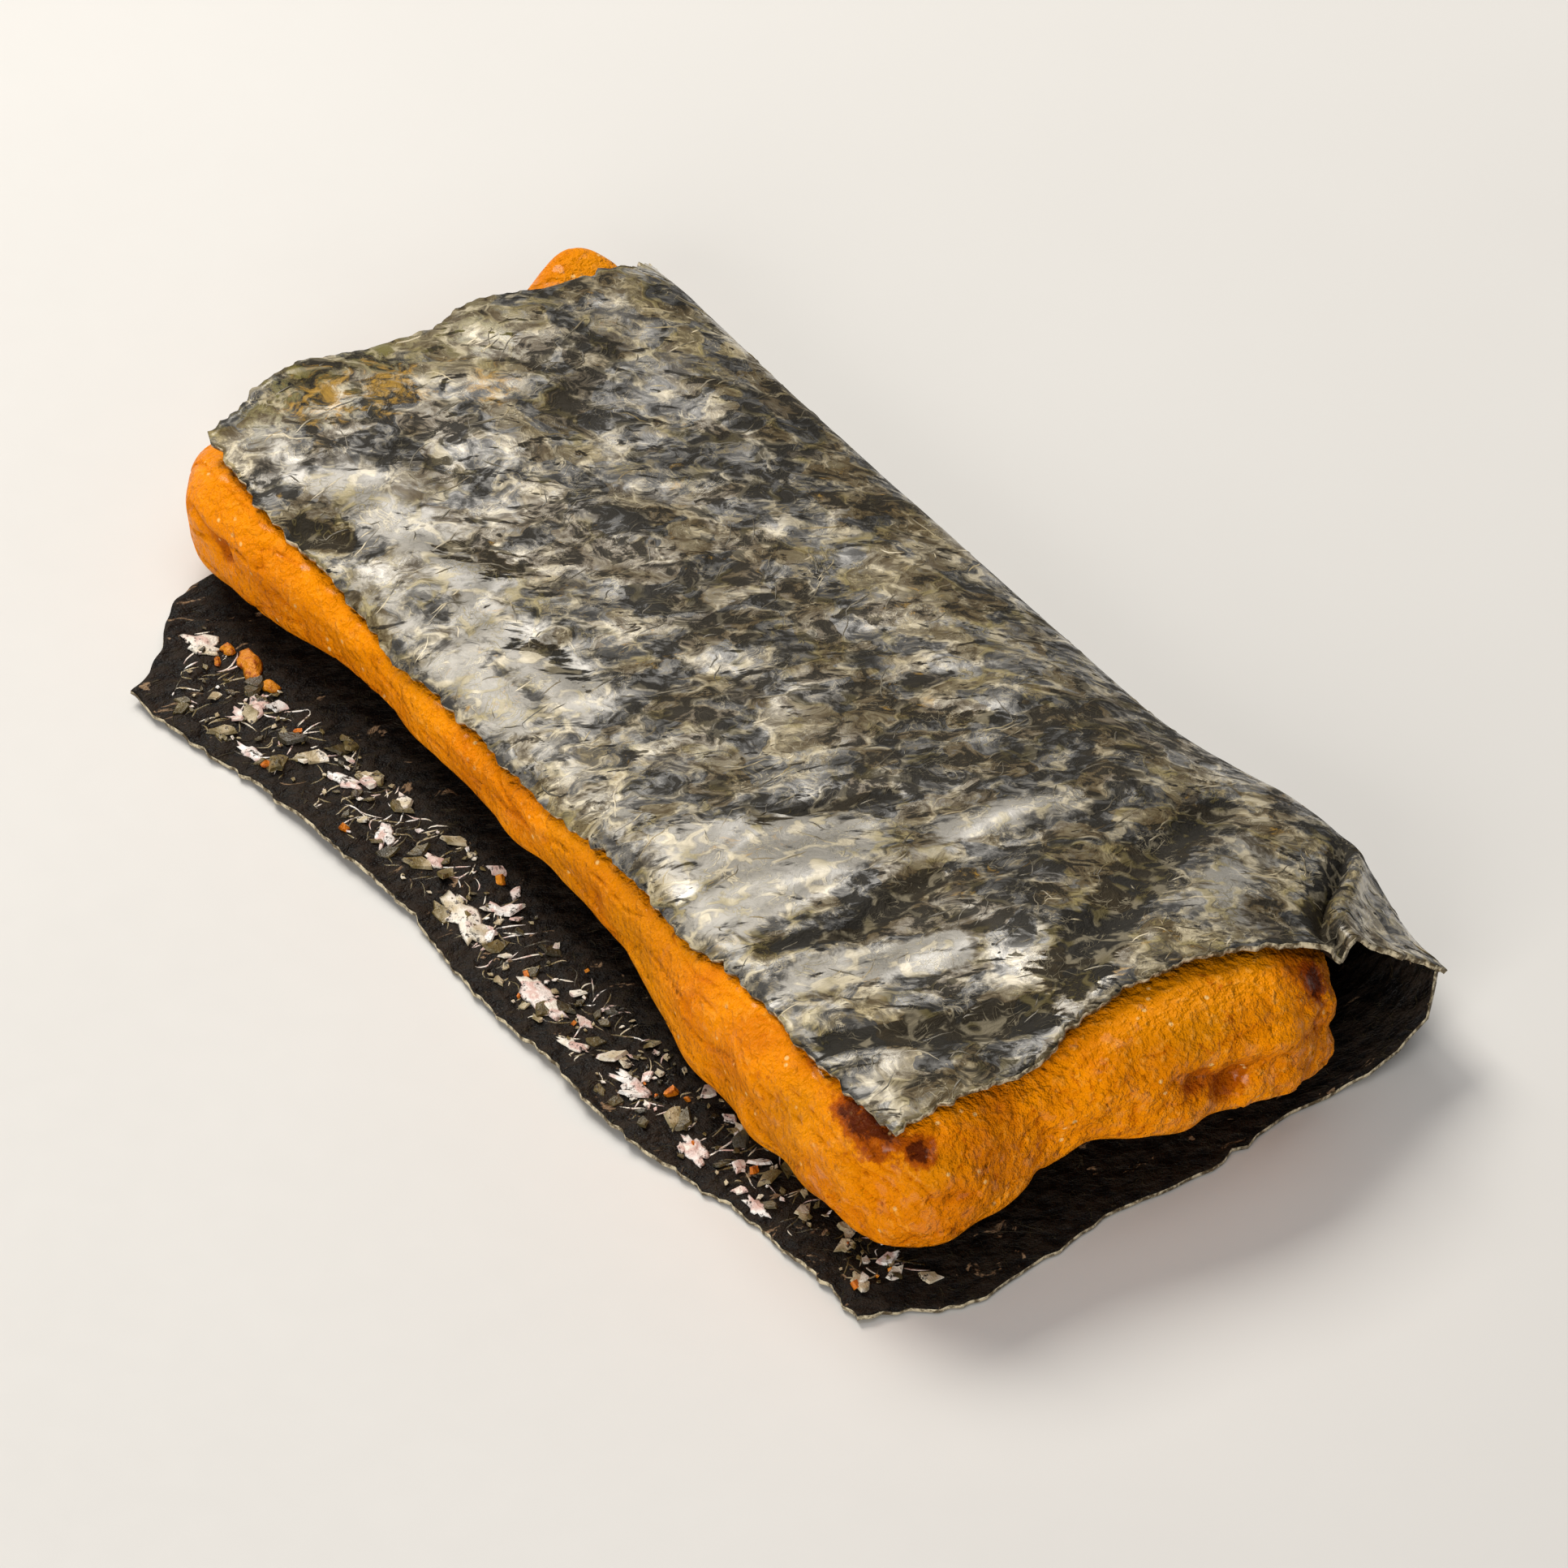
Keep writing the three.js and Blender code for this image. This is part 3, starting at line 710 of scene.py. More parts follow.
def sheet_relief(places, way_round, row):
    """The outward relief of puckers and wrinkles, the painted shade in its dips and the painted
    sheen.
    """
    spots = flattened(places, way_round)

    def lumps(form):
        field = wisps(spots + form["shift"], (form["across"], form["along"], 1))
        return form["height"] * field.reshape(places.shape[:2])

    free = ramp(NOSE_ROW, FLAP_ROWS, row)
    wave = WAVE["height"] * np.abs(ripples(places, WAVE["length"], WAVE["seed"]))
    front = grown(WRINKLES, places[..., 0])
    relief = wave + lumps(PUCKERS) + lumps(WRINKLES) * front
    way_down = (DROOP["start"] - places[..., 1]) / (DROOP["start"] - DROOP["full"])
    relief = relief - DROOP["depth"] * np.clip(way_down, 0, 1) ** DROOP["power"]
    # The crease and the furrows are painted in shade, and the sheens are painted.
    painted_shade = crease_shade(places[..., 0], row)
    for start, end, depth, width in FURROWS:
        dip = run_between(places, start, end, width)
        relief = relief - depth * dip
        painted_shade = np.maximum(painted_shade, FURROW_SHADE * depth * dip * free)
    sheen = np.max([share * run_between(places, start, end, width)
                    for start, end, share, width in SHEENS], axis=0) * free
    strip = grown(ROUGH_STRIP, places[..., 1])
    strip = strip * ramp(TUCK_START, TUCK_START + 1, row)
    rough = lumps(CRINKLES) * np.maximum(free, ROUGH_STRIP["rougher"] * strip)
    return relief * free + rough, painted_shade, sheen


def sheet_skin(outer, inner):
    """Both faces of the sheet and the cut edge all round, and the faces' finish numbers."""
    rows, columns = outer.shape[:2]
    knots = np.arange(rows * columns).reshape(rows, columns)
    under = knots + rows * columns

    def strip(a, b):
        return np.stack([a[:-1], a[1:], b[1:], b[:-1]], -1).reshape(-1, 4)

    top = np.stack([knots[:-1, :-1], knots[:-1, 1:], knots[1:, 1:], knots[1:, :-1]], -1)
    bottom = np.stack([under[:-1, :-1], under[1:, :-1], under[1:, 1:], under[:-1, 1:]], -1)
    edges = np.concatenate([
        strip(knots[:, 0], under[:, 0]), strip(under[:, -1], knots[:, -1]),
        strip(under[0], knots[0]), strip(knots[-1], under[-1])])
    faces = np.concatenate([top.reshape(-1, 4), bottom.reshape(-1, 4), edges])
    finishes = np.repeat([0, 1, 2], [top[..., 0].size, bottom[..., 0].size, len(edges)])
    return np.concatenate([outer.reshape(-1, 3), inner.reshape(-1, 3)]), faces, finishes


def sheet_mm(start):
    """Places on the flat sheet in millimetres: along it, round it, and its side."""
    return attribute(start, "sheet", "Vector")


NORI_BLACK = (0.006, 0.0055, 0.004)
NORI_CHARCOAL = (0.034, 0.035, 0.036)
NORI_BROWN = (0.080, 0.054, 0.020)
NORI_ASH = (0.096, 0.094, 0.090)
NORI_TAN = (0.135, 0.105, 0.048)
NORI_PALE = (0.27, 0.262, 0.235)
NORI_CREAM = (0.40, 0.325, 0.17)
# Grey to sheen: the colours of the painted sheen on smooth laver.
NORI_GREY = (0.045, 0.043, 0.040)
NORI_SHEEN = (0.25, 0.238, 0.21)
NORI_AMBER = (0.44, 0.25, 0.03)
NORI_OLIVE = (0.15, 0.13, 0.02)
FIBRE_TAN = (0.62, 0.54, 0.37)
FIBRE_OLIVE = (0.30, 0.24, 0.08)
FIBRE_DULL = (0.06, 0.048, 0.025)
FROND_SIZE = 1.7
FROND_TURN = 1.0
# Each layer of fibres has its size across and along, its width, its turn and its shift.
FIBRE_LAYERS = ((0.9, 2.0, 0.016, 0.25, 3), (1.0, 2.4, 0.014, -0.4, 11),
                (1.1, 2.2, 0.012, 0.8, 23), (1.0, 1.8, 0.012, -0.9, 51))
INSIDE_LAYERS = ((0.6, 2.6, 0.008, 0.9, 5), (0.7, 2.4, 0.008, -0.5, 9))
# Each spot has a place and a reach.
OLIVE_SPOTS = (((-36.5, -7, 7.3), 5.5), ((-37, -1, 7.3), 5.0), ((-35, 4, 7.3), 4.0))
AMBER_SPOTS = (((-34.8, -5.5, 7.6), 5), ((-34.0, -2, 7.6), 5), ((-31, 2, 7.6), 3.5))
# Pale and dark spots: partly the laver's own tone, partly painted sheen and painted shade of its
# slopes.
PALE_SPOTS = (((-18, -7.5, 7.6), 4.5), ((-11, -7, 7.6), 5), ((-3, -7.5, 7.6), 4.5),
              ((5, -8.5, 8), 5), ((10, -2, 9), 5), ((12, -10, 9), 5), ((20, -8, 9.5), 4),
              ((5, 8, 8.2), 3.5))
DARK_SPOTS = (((-20.5, -4, 7.4), 4.5), ((-17, 6, 7.4), 5), ((-8.9, 4.3, 7.4), 4),
              ((-27, -3, 7.4), 4), ((-2.1, -10.6, 7.4), 2.2), ((0.5, 6.8, 7.4), 4),
              ((15.6, 3, 9), 3), ((15.8, 9, 9), 3), ((19.5, -5, 9.3), 2.6),
              ((22, 1.5, 9.5), 2.6), ((26, -9, 9.6), 3), ((-27.4, -10.8, 7.4), 3.2),
              ((-25, 12, 7.3), 5), ((-5, 13, 7.2), 4), ((-30, 6, 7.6), 4.5), ((-21, -1, 7.4), 3))


def lines(places, layers):
    """Thin wandering fibres over the flat sheet: 1 on a fibre, 0 beside it."""
    share = 0
    for across, along, width, turn, shift in layers:
        turned = places.node("ShaderNodeVectorRotate", {"rotation_type": "Z_AXIS"},
                             {"Vector": places, "Angle": turn})
        stretched = turned.node("ShaderNodeMapping", None, {
            "Vector": turned, "Location": (shift, shift, shift),
            "Scale": (1 / across, 1 / along, 1 / across)})
        from_middle = (stretched.cloud(1, 1.5, 0.5, 0.4) - 0.5).math("ABSOLUTE")
        share = from_middle.step(width, width * 0.25).math("MAXIMUM", share)
    return share


def drawn_out(places, factor):
    """The same places with patterns drawn out this many times along the fronds."""
    return places.node("ShaderNodeMapping", {"vector_type": "TEXTURE"}, {
        "Vector": places, "Rotation": (0, 0, FROND_TURN), "Scale": (factor, 1, 1)})


def open_band(own):
    """1 along the sheet's open edge, where it bends down."""
    return own.axis("Y").step(-6.0, -8.4) * own.cloud(5, 1).step(0.30, 0.46)


def pale_zones(own):
    """1 where painted pale, 0 where painted dark: partly thick and thin laver, partly painted
    sheen and shade.
    """
    # The band along the open edge is painted pale: painted sheen where the sheet bends toward the
    # window.
    zones = own.cloud(8, 1).step(0.40, 0.62).math("MAXIMUM", open_band(own))
    zones = zones.math("MAXIMUM", around_any(own, PALE_SPOTS))
    for spot, reach in DARK_SPOTS:
        zones = zones * (1 - around(own, spot, reach) * 0.85)
    return zones


def frond_colour(tone, hue, warm):
    """Black between fronds and in painted shade, through charcoal and brown, to pale laver and
    painted sheen.
    """
    colour = hue.step(0.45, 0.65).blend(NORI_CHARCOAL, NORI_BROWN)
    colour = tone.step(-0.05, 0.22).blend(NORI_BLACK, colour)
    colour = tone.step(0.22, 0.5).blend(colour, warm.blend(NORI_ASH, NORI_TAN))
    return tone.step(0.5, 0.95).blend(colour, warm.blend(NORI_PALE, NORI_CREAM))


def fine_bits(start, own, laid):
    """1 on the fibres, the rims of fronds and the flecks pressed into the sheet's face."""
    fibres = lines(sheet_mm(start).swirl(3.2, 1.2), FIBRE_LAYERS)
    fibres = fibres * own.cloud(1.6, 2).step(0.46, 0.60)
    rims = laid.cells(FROND_SIZE, "DISTANCE_TO_EDGE").step(0.13, 0.05)
    rims = rims * own.cloud(1.3, 3).step(0.47, 0.55)
    flecks = own.cloud(0.28, 2, 0.6).step(0.64, 0.72) * own.cloud(1.8, 2).step(0.44, 0.56)
    return fibres.math("MAXIMUM", rims).math("MAXIMUM", flecks)


def outside_shader(start):
    own = object_mm(start)

    # The fronds lie mostly along one slanting direction of the sheet.
    laid = drawn_out(own, 1.3).swirl(1.5, 0.55)
    marble = laid.cloud(0.9, 5, 0.68)
    grain = laid.cloud(0.3, 3, 0.7)
    slivers = drawn_out(own, 2.6).swirl(2.4, 0.6).cloud(0.6, 3, 0.65)
    fronds = laid.node("ShaderNodeTexVoronoi", None,
                       {"Vector": laid, "Scale": 1 / FROND_SIZE}, "Color")
    fronds = fronds.node("ShaderNodeSeparateColor", None, {"Color": fronds})
    frond, hue = fronds.out("Red"), fronds.out("Green")

    # How pale the laver is: pale on thick fronds and painted sheen where smooth, painted shade in
    # dips.
    dip = (attribute(start, "dip") + (slivers - 0.5) * 1.5).step(0.22, 0.38)
    sheen = attribute(start, "sheen") + own.cloud(1.4, 3, 0.6) * 0.5 + marble * 0.8 - 0.65
    sheen = sheen.step(0.12, 0.5) * (1 - dip)
    tone = frond * 0.36 + marble.step(0.36, 0.64) * 0.6 + pale_zones(own) * 0.42 - 0.37
    tone = tone.math("MAXIMUM", sheen * (marble * 0.9 + 0.25)) * (grain * 1.1 + 0.45)
    tone = tone * (1 - slivers.step(0.58, 0.64) * (1 - sheen * 0.6)) * (1 - dip * 0.95)

    # Warm places, and the amber and olive of thin laver at the back, partly painted light shone
    # through it.
    browned = own.cloud(6, 1).step(0.45, 0.65) * 0.4
    browned = browned.math("MAXIMUM", around_any(own, AMBER_SPOTS))
    warm = (hue * 0.5 + own.cloud(0.9, 3, 0.65) * 1.6 + browned * 0.4 - 0.6).step(0.25, 0.6)
    amber = (laid.cloud(0.8, 4, 0.7) * 1.4 + browned * 0.52).step(1.0, 1.25) * (1 - dip)
    olive = around_any(own, OLIVE_SPOTS) * marble.step(0.45, 0.6) * (1 - amber)
    # Where the sheen lies, the colour is a painted sheen from grey to pale sheen.
    sheen_colour = tone.step(0.05, 0.75).blend(NORI_GREY, NORI_SHEEN)
    colour = sheen.blend(frond_colour(tone, hue, warm), sheen_colour)
    colour = (amber * (grain * 0.9 + 0.3)).blend(colour, NORI_AMBER)
    colour = olive.blend(colour, NORI_OLIVE)

    fine = fine_bits(start, own, laid)
    strand = own.cloud(2.2, 1).step(0.40, 0.52).blend(FIBRE_OLIVE, FIBRE_TAN)
    colour = (fine * (tone * 0.8 + dip * 0.12 + 0.12)).blend(colour, strand)

    # The last few millimetres before the open edge slope a little more than the mesh does.
    slope = (own.axis("Y") * -1 - 6.6).math("MAXIMUM", 0).math("MINIMUM", 3.4)
    height = own.cloud(2.4, 1) * 2 + marble * 1.8 + grain * 0.4 + frond * 1.0 + fine * 0.4
    coat = (tone * 1.7 + 0.05).math("MAXIMUM", sheen * 0.75) * (1 - open_band(own) * 0.7)
    return {
        "Base Color": colour,
        "Roughness": tone.step(0, 0.8) * -0.35 + 0.75,
        "Normal": (height * (1 - sheen * 0.25) - slope * 1.5).bump(0.16),
        "Specular IOR Level": 0.28,
        "Specular Tint": (1, 0.90, 0.76, 1),
        "Coat Weight": coat * (1 - dip),
        "Coat IOR": 1.6,
        "Coat Roughness": 0.26,
    }


INSIDE_BLACK = (0.004, 0.0035, 0.0035)
INSIDE_BROWN = (0.018, 0.012, 0.008)
INSIDE_TAN = (0.26, 0.17, 0.10)


def inside_shader(start):
    places = sheet_mm(start)
    pulp = places.node("ShaderNodeMapping", None, {"Vector": places, "Scale": (1, 0.6, 1)})
    crumbs = pulp.cloud(0.7, 4, 0.7)
    colour = crumbs.step(0.4, 0.62).blend(INSIDE_BLACK, INSIDE_BROWN)
    colour = pulp.cloud(1.1, 3, 0.7, 0.8).step(0.64, 0.7).blend(colour, INSIDE_TAN)
    fine = lines(places, INSIDE_LAYERS)
    colour = (fine * 0.5).blend(colour, FIBRE_DULL)
    height = crumbs + pulp.cells(0.8) * 0.5 + fine * 0.3
    return {
        "Base Color": colour,
        "Roughness": crumbs.step(0.3, 0.7) * 0.3 + 0.4,
        "Normal": height.bump(0.5),
        "Specular IOR Level": 0.15,
    }


def edge_shader(start):
    places = object_mm(start)
    # The pale tan is partly frayed fibres at the cut, partly a painted highlight of the edge
    # catching the light.
    frayed = places.cloud(0.5, 3, 0.7)
    return {
        "Base Color": frayed.step(0.40, 0.62).blend(NORI_BROWN, FIBRE_TAN),
        "Roughness": frayed * 0.4 + 0.3,
        "Normal": frayed.bump(0.1),
    }


flap_rows = np.linspace(0, FLAP_ROWS, FLAP_STEPS + 1)
fold_rows = np.concatenate([np.linspace(FLAP_ROWS, NOSE_ROW, FOLD_STEPS[0] + 1),
                            np.linspace(NOSE_ROW, TUCK_START, FOLD_STEPS[1] + 1)[1:]])
hidden_rows = np.linspace(TUCK_START, TUCK_START + TUCK_ROWS * HIDDEN_SHARE, HIDDEN_STEPS + 1)
strip_rows = np.linspace(hidden_rows[-1], SHEET_ROWS, STRIP_STEPS + 1)
rows = np.concatenate([flap_rows, fold_rows[1:], hidden_rows[1:], strip_rows[1:]])[:, None]
columns = np.linspace(0, 1, SHEET_COLUMNS + 1)[None, :]

middle = sheet_middle(columns, rows)
spans = np.linalg.norm(np.diff(middle, axis=0), axis=-1).mean(1)
way_round = np.concatenate([[0], np.cumsum(spans)])[:, None]
normals = grid_normals(middle)
relief, painted_shade, sheen = sheet_relief(middle, way_round, rows)
middle = middle + normals * relief[..., None]
normals = grid_normals(middle)
outer = middle + normals * THICKNESS / 2
inner = middle - normals * THICKNESS / 2
outer[..., 2] -= outer[..., 2].min()  # The outside of the lower flap rests on the table.

sheet_places, sheet_faces, finishes = sheet_skin(outer, inner)
nori = skin("nori_sheet", sheet_places, sheet_faces.tolist())
flat_places = flattened(middle, way_round).reshape(-1, 3)
flat_places = np.concatenate([flat_places, flat_places + (0, 0, INSIDE_SHIFT)])
give(nori, "sheet", flat_places, "FLOAT_VECTOR")
give(nori, "dip", [painted_shade, painted_shade])
give(nori, "sheen", [sheen, sheen])
nori.data.polygons.foreach_set("material_index", finishes)
for name, shader in (("nori outside", outside_shader), ("nori inside", inside_shader),
                     ("nori cut edge", edge_shader)):
    nori.data.materials.append(finish(name, shader))
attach(nori, "root")
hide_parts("nori")

# ---- Laver fibres ----
# Loose ends and strands of the pressed fronds that stand proud of the sheet's outside and
# catch the light: pale, thin, a few millimetres long, bent, and drawn more round the fold
# than along it.

FIBRE_DENSITY = 0.2
FIBRE_LENGTH = (0.7, 3.2)
FIBRE_WIDTH = 0.14
FIBRE_SINK = 0.15
FIBRE_SWAY = 1.5
FIBRE_BEND = {"size": 2.2, "height": 2.6}
FIBRE_KNOTS = 7
FIBRE_SIDES = 3
ROWS_PAST_NOSE = 6


def group(name, sockets):
    """The input node of a new node group that takes a mesh and these named values."""
    tree = bpy.data.node_groups.new(name, "GeometryNodeTree")
    tree.interface.new_socket("Mesh", in_out="OUTPUT", socket_type="NodeSocketGeometry")
    for label, kind in {"Ground": "Geometry", **sockets, "Finish": "Material"}.items():
        tree.interface.new_socket(label, in_out="INPUT", socket_type="NodeSocket" + kind)
    return Field(tree).node("NodeGroupInput")


def hand_out(given, shape):
    """Ends a node group with this shape as one plain mesh in the group's finish."""
    joined = given.node("GeometryNodeRealizeInstances", None, {"Geometry": shape})
    made = given.node("GeometryNodeSetMaterial", None, {
        "Geometry": joined, "Material": given.out("Finish")})
    given.node("NodeGroupOutput", None, {"Mesh": made})
    return given


def grow(name, given, ground, values):
    """The piece that a node group makes on a ground mesh, as a plain mesh."""
    piece = bpy.data.objects.new(name, ground)
    bpy.context.scene.collection.objects.link(piece)
    modifier = piece.modifiers.new(name, "NODES")
    modifier.node_group = given.tree
    for socket in given.tree.interface.items_tree:
        if socket.name in values:
            modifier[socket.identifier] = values[socket.name]
    graph = bpy.context.evaluated_depsgraph_get()
    mesh = bpy.data.meshes.new_from_object(
        piece.evaluated_get(graph), preserve_all_data_layers=True, depsgraph=graph)
    piece.modifiers.remove(modifier)
    piece.data = mesh
    return piece


def chance(given, start, end, shift):
    """A random number for each point, from start to end."""
    return given.node("FunctionNodeRandomValue", None, {2: start, 3: end, 8: shift}, 1)


def strewn(given, seed):
    """Random points on the ground, plain and with a random tone stored on each."""
    points = given.node("GeometryNodeDistributePointsOnFaces", None, {
        "Mesh": given.out("Ground"), "Density": given.out("Density"), "Seed": seed})
    toned = given.node("GeometryNodeStoreNamedAttribute", None, {
        "Geometry": points, "Name": "tone", "Value": chance(given, 0.0, 1.0, 5)})
    return points, toned


def settle(given, shape, lift):
    """Draws a shape's points onto the ground, this far above it."""
    ground = given.out("Ground")
    place = given.node("GeometryNodeInputPosition")
    nearest = given.node("GeometryNodeProximity", None, {
        "Geometry": ground, "Sample Position": place})
    facing = given.node("GeometryNodeSampleNearestSurface", {"data_type": "FLOAT_VECTOR"}, {
        "Mesh": ground, "Value": given.node("GeometryNodeInputNormal"),
        "Sample Position": place})
    return given.node("GeometryNodeSetPosition", None, {
        "Geometry": shape, "Position": nearest.vector("ADD", facing.scaled(lift))})


def fibre_group():
    """Strews bent fibres over a ground, each half sunk in it."""
    given = group("fibres", {
        "Density": "Float", "Shortest": "Float", "Longest": "Float", "Width": "Float",
        "Sway": "Float", "Bend": "Float", "Knots": "Int", "Sides": "Int"})
    points, toned = strewn(given, 3)

    # Each fibre lies flat, across the sheet's length, and is swung aside from there.
    facing = points.out("Normal")
    round_fold = facing.vector("CROSS_PRODUCT", (1, 0, 0))
    upright = given.node("FunctionNodeAlignRotationToVector", {"axis": "Z"}, {"Vector": facing})
    aligned = given.node("FunctionNodeAlignRotationToVector", {"axis": "Y", "pivot_axis": "Z"},
                         {"Rotation": upright, "Vector": round_fold})
    swing = chance(given, -1.0, 1.0, 7) * chance(given, 0.2, 1.0, 8) * given.out("Sway")
    swung = given.node("FunctionNodeAxisAngleToRotation", None, {
        "Axis": (0, 0, 1), "Angle": swing})
    turned = given.node("FunctionNodeRotateRotation", {"rotation_space": "LOCAL"},
                        {"Rotation": aligned, "Rotate By": swung})

    # A strand of length 1, scaled at each point. Short ones are the most common.
    straight = given.node("GeometryNodeCurvePrimitiveLine", None, {
        "Start": (0, -0.5, 0), "End": (0, 0.5, 0)})
    strand = given.node("GeometryNodeResampleCurve", None, {
        "Curve": straight, "Count": given.out("Knots")})
    share = chance(given, 0.0, 1.0, 9)
    spread = given.out("Longest") - given.out("Shortest")
    length = share * share * spread + given.out("Shortest")
    laid = given.node("GeometryNodeInstanceOnPoints", None, {
        "Points": toned, "Instance": strand, "Rotation": turned, "Scale": length})
    strands = given.node("GeometryNodeRealizeInstances", None, {"Geometry": laid})

    place = given.node("GeometryNodeInputPosition").scaled(1 / MM)
    drift = place.node("ShaderNodeTexNoise", None, {
        "Vector": place, "Scale": 1 / FIBRE_BEND["size"], "Detail": 1.0}, "Color")
    drift = drift.vector("SUBTRACT", (0.5,) * 3).scaled(given.out("Bend"))
    bent = given.node("GeometryNodeSetPosition", None, {"Geometry": strands, "Offset": drift})
    settled = settle(given, bent, given.out("Width") * -FIBRE_SINK)

    # The full width halfway along and a quarter of it at both ends.
    share = given.node("GeometryNodeSplineParameter", None, None, "Factor")
    outline = given.node("GeometryNodeCurvePrimitiveCircle", None, {
        "Resolution": given.out("Sides"), "Radius": given.out("Width") * 0.5})
    return hand_out(given, given.node("GeometryNodeCurveToMesh", None, {
        "Curve": settled, "Profile Curve": outline, "Scale": share * (1 - share) * 3 + 0.25,
        "Fill Caps": True}))


def fibre_shader(start):
    places = object_mm(start)
    tone = attribute(start, "tone")
    colour = tone.node("ShaderNodeValToRGB", {"stops": (
        (0.0, (0.03, 0.025, 0.012)), (0.25, (0.22, 0.16, 0.06)), (0.55, (0.48, 0.40, 0.24)),
        (1.0, (0.70, 0.62, 0.46)))}, {"Fac": tone})
    # Fibres are bright where the sheet is painted pale and dull elsewhere: partly their own tone,
    # partly painted sheen and shade.
    pale = pale_zones(places) * places.cloud(1.5, 2).step(0.4, 0.55)
    return {
        "Base Color": pale.blend(FIBRE_DULL, colour),
        "Roughness": places.cloud(0.5, 2) * 0.3 + 0.25,
    }


def ground_mesh(places):
    """A grid of places as a mesh for pieces to grow on."""
    rows, columns = places.shape[:2]
    knots = np.arange(rows * columns).reshape(rows, columns)
    quads = np.stack([knots[:-1, :-1], knots[:-1, 1:], knots[1:, 1:], knots[1:, :-1]], -1)
    return shaped("ground", places.reshape(-1, 3), quads.reshape(-1, 4).tolist())


def grow_fibres(name, places, density, longest, sway, material):
    """The piece of fibres on a grid of places, so many to the square millimetre."""
    return grow(name, fibre_nodes, ground_mesh(places), {
        "Density": density / MM ** 2, "Shortest": FIBRE_LENGTH[0] * MM, "Longest": longest * MM,
        "Width": FIBRE_WIDTH * MM, "Sway": sway, "Bend": FIBRE_BEND["height"] * MM,
        "Knots": FIBRE_KNOTS, "Sides": FIBRE_SIDES, "Finish": material})


fibre_nodes = fibre_group()
shown = outer[:FLAP_STEPS + FOLD_STEPS[0] + ROWS_PAST_NOSE]
fibres = grow_fibres("laver_fibres", shown, FIBRE_DENSITY, FIBRE_LENGTH[1], FIBRE_SWAY,
                     finish("laver fibre", fibre_shader))
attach(fibres, "root")

# ---- Flakes and crumbs ----
# Bits of laver and crust caught on the rough inside of the sheet, where it stands out past
# the cracker: tan torn flakes and white and pink ones that are painted glints, short fibres,
# a dozen larger torn scraps, most painted as white and pink glints, and a few orange crumbs.

FLAKES = {"smallest": 0.3, "largest": 1.7, "density": 1.2, "tilt": 0.35, "sides": 9,
          "thickness": 0.05, "shape": 1, "seed": 2}
CRUMBS = {"smallest": 0.25, "largest": 0.8, "density": 0.10, "tilt": 1.2, "sides": 8,
          "thickness": 0.28, "shape": 4, "seed": 8}
CHIP = {"length": 1.0, "width": 0.55, "ragged": 0.42, "quick": 2.7, "slow": 1.3,
        "upper": 0.85, "bow": 0.12}
CHIP_LIFT = 0.1
FULL_TURN = 6.28
STRIP_FIBRES = {"density": 1.2, "longest": 2.0, "sway": 1.6}
STRIP_MARGIN = 5
SIDE_MARGIN = 7
SCRAP_SIDES = 22
SCRAP_RINGS = 6
SCRAP_OUTLINE = {"radius": 1.2, "size": 0.6, "shift": 9}
SCRAP_BASE = -0.1
SCRAP_LIFT = 0.05
SCRAP_TONES = {"least": 0.72, "pitch": 2.4}
CRUMPLE = {"size": 0.55, "height": 0.14, "rim": 0.3, "shift": 5}
TORN = 0.75
ROUNDED = 0.4
# Each scrap and large crumb has its place along X and Y, length, width, height and turn.
SCRAPS = ((-4.4, -16.0, 4.4, 1.6, 0.16, -0.1), (2.6, -16.0, 3.8, 1.4, 0.16, -0.05),
          (10.4, -15.6, 2.4, 1.0, 0.14, 0.2), (16.0, -15.6, 2.4, 1.1, 0.14, -0.2),
          (-29.6, -16.2, 2.4, 1.6, 0.2, 0.6), (-24.0, -16.2, 2.2, 1.2, 0.16, -0.5),
          (-16.6, -15.6, 2.2, 0.9, 0.14, 0.4), (-11.8, -16.2, 2.0, 1.0, 0.14, -0.6),
          (-9.0, -15.0, 1.4, 0.9, 0.12, 0.1), (6.4, -16.6, 1.8, 0.7, 0.12, 0.5),
          (-21.0, -18.4, 1.9, 0.9, 0.14, 0.2), (21.0, -15.2, 1.7, 0.8, 0.12, 0))
LARGE_CRUMBS = ((-26.8, -14.9, 2.6, 1.2, 0.5, -0.3), (-24.9, -14.9, 1.1, 0.8, 0.4, 0.4),
                (-28.4, -15.3, 0.9, 0.7, 0.4, 0.2))


def scatter_group():
    """Scatters copies of a shape over a ground, turned and scaled at random."""
    given = group("scatter", {
        "Shape": "Object", "Density": "Float", "Smallest": "Float", "Largest": "Float",
        "Tilt": "Float", "Seed": "Int"})
    points, toned = strewn(given, given.out("Seed"))
    spin = given.node("ShaderNodeCombineXYZ", None, {
        "X": chance(given, -1.0, 1.0, 2) * given.out("Tilt"),
        "Y": chance(given, -1.0, 1.0, 3) * given.out("Tilt"),
        "Z": chance(given, 0.0, FULL_TURN, 4)})
    turned = given.node("FunctionNodeRotateRotation", {"rotation_space": "LOCAL"}, {
        "Rotation": points.out("Rotation"),
        "Rotate By": given.node("FunctionNodeEulerToRotation", None, {"Euler": spin})})
    share = chance(given, 0.0, 1.0, 6)
    spread = given.out("Largest") - given.out("Smallest")
    size = share * share * share * spread + given.out("Smallest")
    shape = given.node("GeometryNodeObjectInfo", None, {"Object": given.out("Shape")}, "Geometry")
    raised = given.node("GeometryNodeSetPosition", None, {
        "Geometry": toned, "Offset": (0, 0, CHIP_LIFT * MM)})
    return hand_out(given, given.node("GeometryNodeInstanceOnPoints", None, {
        "Points": raised, "Instance": shape, "Rotation": turned, "Scale": size}))


